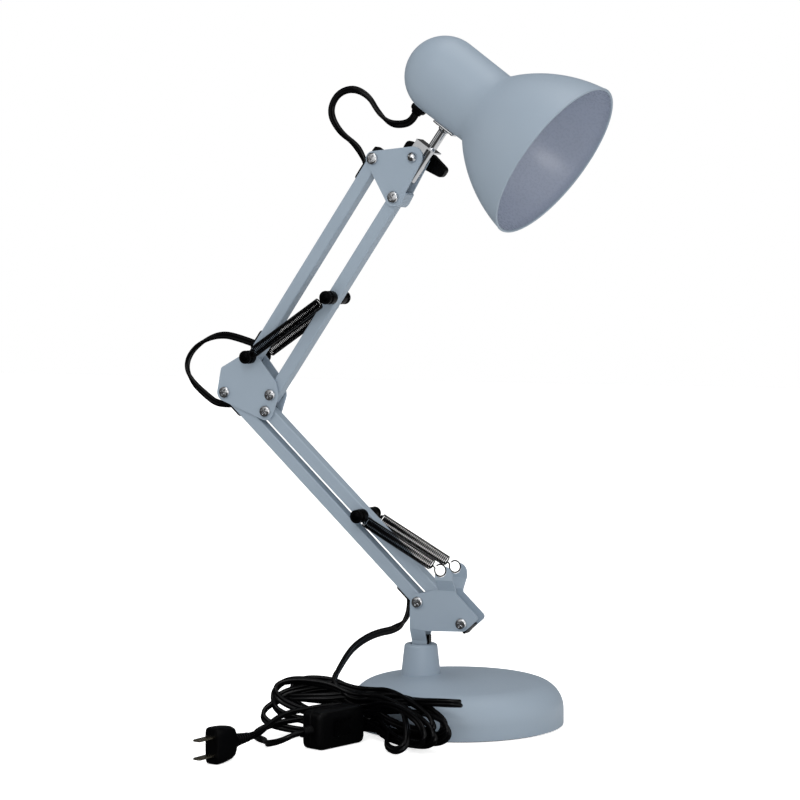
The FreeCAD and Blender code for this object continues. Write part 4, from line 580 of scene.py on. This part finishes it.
def spring(name, start, end, side, pitch):
    """A coil (x, r sin u, r cos u), u one turn per pitch, with a flat ring at each end."""
    a, b = np.array(PIVOTS[start]), np.array(PIVOTS[end])
    length = np.linalg.norm(b - a) / MM
    angle = math.degrees(math.atan2(b[1] - a[1], b[0] - a[0]))
    turns = round((length - 2 * LEAD) / pitch)
    t = np.linspace(0, 1, turns * PER_TURN + 1)
    coil_x = LEAD + t * (length - 2 * LEAD)
    grow = np.clip(np.minimum(t, 1 - t) * turns * 1.6, 0, 1)
    radius = COIL * np.sin(grow * np.pi / 2)
    u = 2 * np.pi * turns * t
    coil = np.stack([coil_x, radius * np.sin(u), radius * np.cos(u)], -1)
    facing = np.stack([0 * u, np.sin(u), np.cos(u)], -1)
    loop = np.radians(np.linspace(345, 8, PER_HOOK))
    hook = np.stack([HOOK * np.cos(loop), HOOK * np.sin(loop), 0.5 * np.sin(loop / 2 - 1.57)], -1)
    other = hook[::-1] * (-1, -1, 1) + (length, 0, 0)
    path = np.concatenate([hook, coil, other])
    flat = np.tile((0., 0., 1.), (PER_HOOK, 1))
    wide = np.concatenate([flat, facing, flat])
    place = in_plane(a[0], a[1], angle, side * SPRING_PLACE)
    line = placed(path * MM, place)
    wide = wide @ np.array(place[1:], float)
    made = piece(name, [carried(ring(WIRE * MM, 8), line, wide)], spring_wire, None,
                 [name.replace("_coil", "")], crease=80)
    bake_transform(made)


for side, way in (("near", -1), ("far", 1)):
    spring("lower_spring_%s_coil" % side, "ear", "low_spool", way, LOWER_PITCH)
    spring("upper_spring_%s_coil" % side, "elbow_high", "high_spool", way, UPPER_PITCH)

# Rubber rims of the cord slots, 13 mm from the pivots, and the soft cap of the upper rear tube

SLOT_MIDDLE = 13.0


def slot_rim(start, degrees, way):
    """A rounded rectangle 1.3 mm proud of the tube's back, over the slot's middle."""
    x, z = PIVOTS[start]
    origin, along, back, across = in_plane(x, z, degrees)
    spot = (SLOT_MIDDLE * way * MM, (TUBE_HALF + .02) * MM, 0)
    middle = placed(spot, (origin, along, back, across))
    outline = eased(((-8.6, -4.2), (8.6, -4.2), (8.6, 4.2), (-8.6, 4.2)), 2.4, 6, closed=True)
    return slab(outline, ((0, 0), (1, 0), (1, .8), (.95, 1.3), (0, 1.3)), (middle, along, across, back))


for name, low, high, degrees, body in (
        ("lower_slot_rims", "lower_rear", "elbow_rear", LOWER_ANGLE, "lower_rear_arm"),
        ("upper_slot_rims", "elbow_high", "head_rear", UPPER_ANGLE, "upper_rear_arm")):
    piece(name, [slot_rim(low, degrees, 1), slot_rim(high, degrees, -1)], black_nylon, body)
x, z = PIVOTS["head_rear"]
origin, along, back, across = in_plane(x, z, UPPER_ANGLE)
cap_outline = eased(((-5.2, -5.2), (5.2, -5.2), (5.2, 5.2), (-5.2, 5.2)), 1.6, 6, closed=True)
cap_layers = ((0, 5.9), (1, 5.9), (1, 7.6), (.93, 8.3), (.6, 8.7), (0, 8.8))
piece("upper_tube_cap", [slab(cap_outline, cap_layers, (origin, back, across, along))], black_nylon,
      "upper_rear_arm")

# Wing nut on the far side of the tilt bolt

WING_ANGLE, NUT_FACE = -36.0, 0.0075
x, z = PIVOTS["tilt"]
wing_place = in_plane(x, z, WING_ANGLE, NUT_FACE)
parts = [turned(eased(((2.55, 0), (5.8, 0), (5.8, 9.0), (4.9, 14.0), (0, 14.0)), (0, .5, 1, 1.2, 0), 6),
                wing_place, 40)]
for way in (1, -1):
    wing = eased(((2.9 * way, -7.0), (20.4 * way, -4.2), (20.4 * way, 4.2), (2.9 * way, 7.0)),
                 (1, 3.4, 3.4, 1), 8, closed=True)
    layers = ((0, 6.0), (.9, 6.0), (.985, 6.5), (1, 7.4), (.97, 12.6), (.93, 13.7), (.8, 14), (0, 14))
    parts.append(slab(wing, layers, wing_place))
piece("wing_nut_dressed", parts, black_nylon, "wing_nut", ["wing_nut"])

# Shade and hood: one spun shell with a rolled rim, lined with smoother enamel that is painted lighter,
# as painted light

# (radius, height) of the mouth and of the neck, the arc of the dome, the hood's end, the sheet
MOUTH_EDGE, NECK, DOME_RADIUS, HOOD_RADIUS, SHEET = (64.9, 0.0), (29.9, 67.0), 118.0, 30.7, 1.0
head_place = (MOUTH,) + HEAD


def arc(centre, radius, first, last, count):
    """Points of an arc (c + r cos a, c + r sin a) between two angles in degrees."""
    a = np.radians(np.linspace(first, last, count))[:, None]
    return np.array(centre) + radius * np.concatenate([np.cos(a), np.sin(a)], 1)


def dome_line(inset, count=40):
    """The dome from mouth to neck: one arc through both, radius less inset about its centre."""
    mouth, neck = np.array(MOUTH_EDGE), np.array(NECK)
    middle, half = (mouth + neck) / 2, (neck - mouth) / 2
    normal = np.array((-half[1], half[0])) / np.linalg.norm(half)
    centre = middle + normal * math.sqrt(DOME_RADIUS ** 2 - half @ half)
    first, last = mouth - centre, neck - centre
    a = np.linspace(math.atan2(first[1], first[0]), math.atan2(last[1], last[0]), count)[:, None]
    return centre + (DOME_RADIUS - inset) * np.concatenate([np.cos(a), np.sin(a)], 1)


def hood_line(inset):
    """The hood: a slightly flared tube with a half-round crown, moved inwards by an inset."""
    side = np.stack([np.linspace(NECK[0], HOOD_RADIUS, 10) - inset, np.linspace(68.0, 111.0, 10)], -1)
    return np.concatenate([side, arc((0, 112.0), HOOD_RADIUS - inset, 0, 90, 26)])


# Few rings beside the neck, so that its light turns softly while its outline stays crisp
outer = np.concatenate([dome_line(0)[1:-5], [(29.9, 67.1)], hood_line(0)[2:]])
inner = np.concatenate([dome_line(SHEET)[3:-1], [(29.0, 66.5)], hood_line(SHEET)])[::-1]
bead = arc((64.0, 1.0), SHEET, 160, 350, 12)
piece("shade_shell", [
    turned(np.concatenate([bead, outer]), head_place, 160),
    # The lining's finish: painted lighter than the outside, as painted light for the dim inside of the
    # shade
    turned(np.concatenate([inner, bead[:1]]), head_place, 160, mark=1),
], [powder_coat, lining_painted_lighter], "head", ["shade"], crease=60)

# Rod with its foot strip riveted to the hood

# Heights of the rod and of the cord gland above the mouth, and the hood's radius at the strip
ROD_HEIGHT, GLAND_HEIGHT, STRIP_RADIUS, RIVET_PLACE = 88.9, 115.7, 30.65, 7.2
rod_side = ((0.0, 1.0, 0.0), (-0.80489, 0.0, 0.59342), (-0.59342, 0.0, -0.80489))
rod_root = np.array(MOUTH) + np.array(HEAD[2]) * ROD_HEIGHT * MM
rod_place = (rod_root,) + rod_side
strip_side = eased(((-4.5, -10), (4.5, -10), (4.5, 10), (-4.5, 10)), 1.6, 6, closed=True)


def foot_strip():
    """A strip bent round the hood: height = sqrt(R^2 - a^2) above the hood's axis, 1.6 mm thick."""
    shares = np.array((0, .35, .7, .97, 1, 1, .97, .7, .35, 0))[:, None]
    rise = np.array((0, 0, 0, 0, .3, 1.3, 1.6, 1.6, 1.6, 1.6))[:, None]
    across = shares * strip_side[None, :, 0]
    grid = np.stack([across, shares * strip_side[None, :, 1],
                     np.sqrt(STRIP_RADIUS ** 2 - across ** 2) + rise], -1) * MM
    return placed(grid, rod_place), False, True, 0


rivets = []
for place in (-RIVET_PLACE, RIVET_PLACE):
    origin = placed((0, place * MM, 0), rod_place)
    rivets.append(turned(((0, 31.9), (1.5, 31.9), (1.5, 32.3), (1.1, 32.8), (0, 33.0)),
                         (origin,) + rod_side, 24))
piece("head_rod_dressed", [
    foot_strip(),
    turned(eased(((0, 31.6), (4.4, 31.6), (4.4, 33.4), (3.5, 34.2), (3.5, 80.0), (0, 80.0)),
                 (0, .2, .5, .5, .8, 0), 6), rod_place, 48),
] + rivets, chrome_plate, "head", ["head_rod"])

# Cord gland on the hood: flange, ribbed nose

gland_place = (np.array(MOUTH) + np.array(HEAD[2]) * GLAND_HEIGHT * MM,) + rod_side
gland = eased(((0, 26.0), (2.95, 26.0), (2.95, 30.6), (6.3, 30.6), (6.4, 32.4), (5.6, 34.2),
               (4.4, 34.5), (4.2, 35.4), (3.9, 35.6), (4.0, 36.2), (3.3, 36.75), (0, 36.75)),
              (0, 0, .2, .3, .6, .6, .4, .2, .2, .3, .4, 0), 4)
piece("cord_gland_dressed", [turned(gland, gland_place, 40)], black_nylon, "head",
      ["cord_gland"])

# Inline switch standing on its edge: case with a parting line, rocker well and cord collars

SWITCH_CORNER, SWITCH_ANGLE = (-0.0416, -0.1460, 0.0), 74.0
CASE_LENGTH, CASE_HEIGHT, CASE_DEPTH, WELL_DEPTH = 48.0, 28.0, 18.0, 5.5
t = math.radians(SWITCH_ANGLE)
switch_place = (SWITCH_CORNER, (math.cos(t), math.sin(t), 0), (0, 0, 1),
                (math.sin(t), -math.cos(t), 0))


def corners_of(x0, x1, z0, z1):
    """Four corners of a rectangle, counterclockwise."""
    return ((x0, z0), (x1, z0), (x1, z1), (x0, z1))


case = eased(corners_of(0, CASE_LENGTH, 0, CASE_HEIGHT), 5.5, 8, closed=True)
well = eased(corners_of(15, 33, 8.2, 19.8), 0.4, 8, closed=True)


def switch_case():
    """Rings from the back to the face, shrinking at both edges, then down into the rocker's well."""
    middle = np.array((CASE_LENGTH / 2, CASE_HEIGHT / 2))
    shares = ((.0, -CASE_DEPTH), (.88, -CASE_DEPTH), (.95, -17.5), (.985, -16.4), (1, -14.5),
              (1, -9.5), (.985, -9.2), (.985, -8.8), (1, -8.5), (1, -3.4), (.985, -1.5),
              (.955, -.45), (.9, 0))
    grid = [np.c_[middle + share * (case - middle), np.full(len(case), high)] for share, high in shares]
    for share, high in ((.25, 0), (.55, 0), (.85, 0), (1, -.2), (1, -WELL_DEPTH)):
        mixed = (middle + .9 * (case - middle)) * (1 - share) + well * share
        grid.append(np.c_[mixed, np.full(len(case), high)])
    grid.append(np.tile((*middle, -WELL_DEPTH), (len(case), 1)))
    return placed(np.array(grid) * MM, switch_place), False, True, 0


def collar(origin, way, length, root, tip):
    """A tapered cord collar with three soft ribs, along the case's own length."""
    h = np.linspace(0, length, 22)
    r = root + (tip - root) * h / length + 0.28 * np.sin(h * np.pi / 1.5) ** 2 * (h < length * .85)
    profile = np.concatenate([[(0, -0.6), (root, -0.6)], np.stack([r, h], -1), [(0, length)]])
    along = np.array(switch_place[1]) * way
    side = np.array(switch_place[3]) * way
    return turned(profile, (placed(np.array(origin) * MM, switch_place), side, (0, 0, 1), along), 36)


piece("switch_case", [switch_case(),
                      collar((0, CASE_HEIGHT / 2, -CASE_DEPTH / 2), -1, 9.0, 4.0, 3.5),
                      collar((CASE_LENGTH, CASE_HEIGHT / 2, -CASE_DEPTH / 2), 1, 3.4, 3.6, 3.35)],
      switch_moulding, "base", ["switch_shell"], crease=28)

# Mains plug standing on its edge: moulded body, waist and ribbed relief, two blades

PLUG_START, PLUG_ANGLE = (-0.0851, -0.1959, 0.0), -98.9
PLUG_FACE, PLUG_TAIL, PLUG_MIDDLE, BLADE_PLACE = 22.0, -18.0, 13.0, 6.35
t = math.radians(PLUG_ANGLE)
plug_place = (PLUG_START, (math.cos(t), math.sin(t), 0), (-math.sin(t), math.cos(t), 0), (0, 0, 1))


def plug_form():
    """Sections along the plug: |a/A|^p + |b/B|^p = 1 with half sizes A, B and power p by station."""
    at = np.array((21.9, 21.9, 21.4, 20.0, 15.0, 9.0, 4.0, 1.0, 0.0, -.8, -3.0, -6.0, PLUG_TAIL))
    thick = np.array((0, 5.3, 6.0, 6.2, 6.2, 5.9, 5.6, 5.4, 5.2, 5.0, 4.6, 4.3, 3.3))
    tall = np.array((0, 12.0, 12.7, 12.95, 12.9, 12.4, 11.6, 10.2, 8.8, 6.6, 5.4, 4.6, 3.3))
    power = np.array((6, 6, 6, 6, 5.5, 5, 4.5, 3.8, 3.2, 2.6, 2.2, 2.0, 2.0))
    x = np.concatenate([at[:10], np.linspace(-1.2, PLUG_TAIL, 46)])
    size = [np.interp(-x, -at, v) for v in (thick, tall, power)]
    size[0][0] = size[1][0] = 0.001
    rib = np.where((x < -2.5) & (x > -16.5), 0.42 * np.sin((x + 2.5) * np.pi / 2.8) ** 2, 0)
    u = np.linspace(0, 2 * np.pi, 72, endpoint=False)[None]
    c, s = np.cos(u), np.sin(u)
    p = size[2][:, None]
    reach = (np.abs(c) ** p + np.abs(s) ** p) ** (-1 / p)
    a = reach * c * (size[0] - rib)[:, None]
    b = reach * s * (size[1] - rib)[:, None]
    grid = np.stack([np.broadcast_to(x[:, None], a.shape), a, b + PLUG_MIDDLE], -1)
    tip = np.tile(((PLUG_TAIL, 0.0, PLUG_MIDDLE),), (72, 1))[None]
    return placed(np.concatenate([grid, tip]) * MM, plug_place), False, True, 0


plug = piece("plug_moulding", [plug_form()], plug_moulding, "base", ["plug_body"])
blades = []
for side in (-1, 1):
    origin = placed(np.array((PLUG_FACE, 0, PLUG_MIDDLE + side * BLADE_PLACE)) * MM, plug_place)
    blade = eased(corners_of(-.5, 17.0, -3.15, 3.15), (.1, 1.6, 1.6, .1), 6, closed=True)
    blades.append(slab(blade, ((0, -.75), (.93, -.75), (1, -.5), (1, .5), (.93, .75), (0, .75)),
                       (origin,) + plug_place[1:]))
prongs = piece("plug_prongs", blades, blade_metal, "base", ["plug_blades"])

lay_lead("hank_from_plug", mains_route, hank_side(mains_route), (0.1, 0.6, 0.21), "base",
         ["cord_hank", "cord_plug_lead", "cord_switch_lead"],
         step=0.0014)
lay_lead("hank_from_lamp", lamp_route, hank_side(lamp_route), (-0.1, 0.6, 0.26), "base",
         ["cord_hank"], step=0.0014)

# Finishes of the solids that stay as they are

kept = (
    (powder_coat, ("base_cover", "lower_plate_near", "lower_plate_far", "elbow_plate_near",
                   "elbow_plate_far", "head_plate_near", "head_plate_far", "head_web",
                   "lower_rear_tube", "lower_front_tube", "upper_rear_tube", "upper_front_tube")),
    (cast_iron, ("base_weight",)),
    (foam_sheet, ("base_pad",)),
    (black_nylon, ("swivel_bush", "lower_front_plugs", "upper_rear_plugs", "lamp_socket",
                   "lower_washers", "elbow_washers", "head_washers")),
    (rocker_moulding, ("switch_rocker",)),
    (chrome_plate, ("head_saddle", "tilt_bolt")),
    (spring_wire, ("swivel_pin",)),
    (socket_brass, ("socket_shell",)),
    (zinc_sheet, ("socket_carrier",)),
)
for material, names in kept:
    for name in names:
        slots = CAD[name].data.materials
        slots.clear()
        slots.append(material)

# Plain pale floor, white background and soft studio lamps


def background(tree, lit, seen, mirrored):
    """White for the camera, the studio for reflections, a softer light for everything else."""
    ray = node(tree, "ShaderNodeLightPath")
    either = node(tree, "ShaderNodeMath", [(0, ray.outputs["Is Camera Ray"]),
                  (1, ray.outputs["Is Transmission Ray"])], operation="MAXIMUM")
    first = node(tree, "ShaderNodeMixShader", [(0, ray.outputs["Is Glossy Ray"]), (1, lit),
                 (2, mirrored)])
    return node(tree, "ShaderNodeMixShader", [(0, either.outputs[0]), (1, first.outputs[0]),
                (2, seen)])


world = bpy.data.worlds.new("studio")
world.use_nodes = True
bpy.context.scene.world = world
tree = world.node_tree
tree.nodes.clear()
lit = node(tree, "ShaderNodeBackground", [("Color", colour("#FFFFFF")), ("Strength", 0.60)])
seen = node(tree, "ShaderNodeBackground", [("Color", colour("#FFFFFF")), ("Strength", 1.0)])
# What metal mirrors: white screens to the front and right, a dark room to the left and behind
heading = node(tree, "ShaderNodeTexCoord").outputs["Generated"]
screens = node(tree, "ShaderNodeVectorMath", [(0, heading), (1, (0.75, -0.66, 0.0))],
               operation="DOT_PRODUCT")
room = node(tree, "ShaderNodeMapRange", [("Value", screens.outputs["Value"]), ("From Min", 0.08),
            ("From Max", 0.38), ("To Min", 0.06), ("To Max", 1.0)])
mirror = node(tree, "ShaderNodeBackground", [("Color", colour("#FFFFFF")),
              ("Strength", room.outputs["Result"])])
mixed = background(tree, lit.outputs[0], seen.outputs[0], mirror.outputs[0])
node(tree, "ShaderNodeOutputWorld", [("Surface", mixed.outputs[0])])

paper = bpy.data.materials.new("white_studio_paper")
paper.use_nodes = True
tree = paper.node_tree
tree.nodes.clear()
matt = node(tree, "ShaderNodeBsdfDiffuse", [("Color", colour("#F4F4F3")), ("Roughness", 1.0)])
glow = node(tree, "ShaderNodeEmission", [("Color", colour("#FFFFFF")), ("Strength", 0.68)])
both = node(tree, "ShaderNodeAddShader", [(0, matt.outputs[0]), (1, glow.outputs[0])])
# What metal mirrors of the floor: painted shade in front and to the left, bright behind and to the
# right; the camera sees the floor evenly pale
ground = node(tree, "ShaderNodeTexCoord").outputs["Object"]
reach = node(tree, "ShaderNodeVectorMath", [(0, ground), (1, (1.0, 0.6, 0.0))],
             operation="DOT_PRODUCT")
tone = node(tree, "ShaderNodeMapRange", [("Value", reach.outputs["Value"]), ("From Min", -0.05),
            ("From Max", 0.15), ("To Min", 0.08), ("To Max", 0.92)])
mirrored = node(tree, "ShaderNodeBsdfDiffuse", [("Color", tone.outputs["Result"]),
                ("Roughness", 1.0)])
mixed = background(tree, matt.outputs[0], both.outputs[0], mirrored.outputs[0])
node(tree, "ShaderNodeOutputMaterial", [("Surface", mixed.outputs[0])])
floor_mesh = bpy.data.meshes.new("floor")
HALF, LEVEL = 6, -0.0003
floor_mesh.from_pydata([(-HALF, -HALF, LEVEL), (HALF, -HALF, LEVEL), (HALF, HALF, LEVEL),
                        (-HALF, HALF, LEVEL)], [], [(0, 1, 2, 3)])
floor_mesh.materials.append(paper)
floor = bpy.data.objects.new("floor", floor_mesh)
bpy.context.scene.collection.objects.link(floor)

middle_of_lamp = Vector((-0.05, -0.03, 0.25))
studio_lamps = (("key", (0.5, -1.9, 1.6), 0.6, 7.0), ("side", (-1.6, -0.9, 1.3), 0.8, 1.5),
                ("front", (1.1, -1.9, 0.2), 0.8, 7.0), ("top", (0.3, 0.2, 2.3), 1.2, 10.0))
for name, spot, width, watts in studio_lamps:
    lamp = bpy.data.lights.new(name, "AREA")
    lamp.shape = "SQUARE"
    lamp.size = width
    lamp.energy = watts
    holder = bpy.data.objects.new(name, lamp)
    holder.location = spot
    holder.rotation_euler = (middle_of_lamp - Vector(spot)).to_track_quat("-Z", "Y").to_euler()
    bpy.context.scene.collection.objects.link(holder)
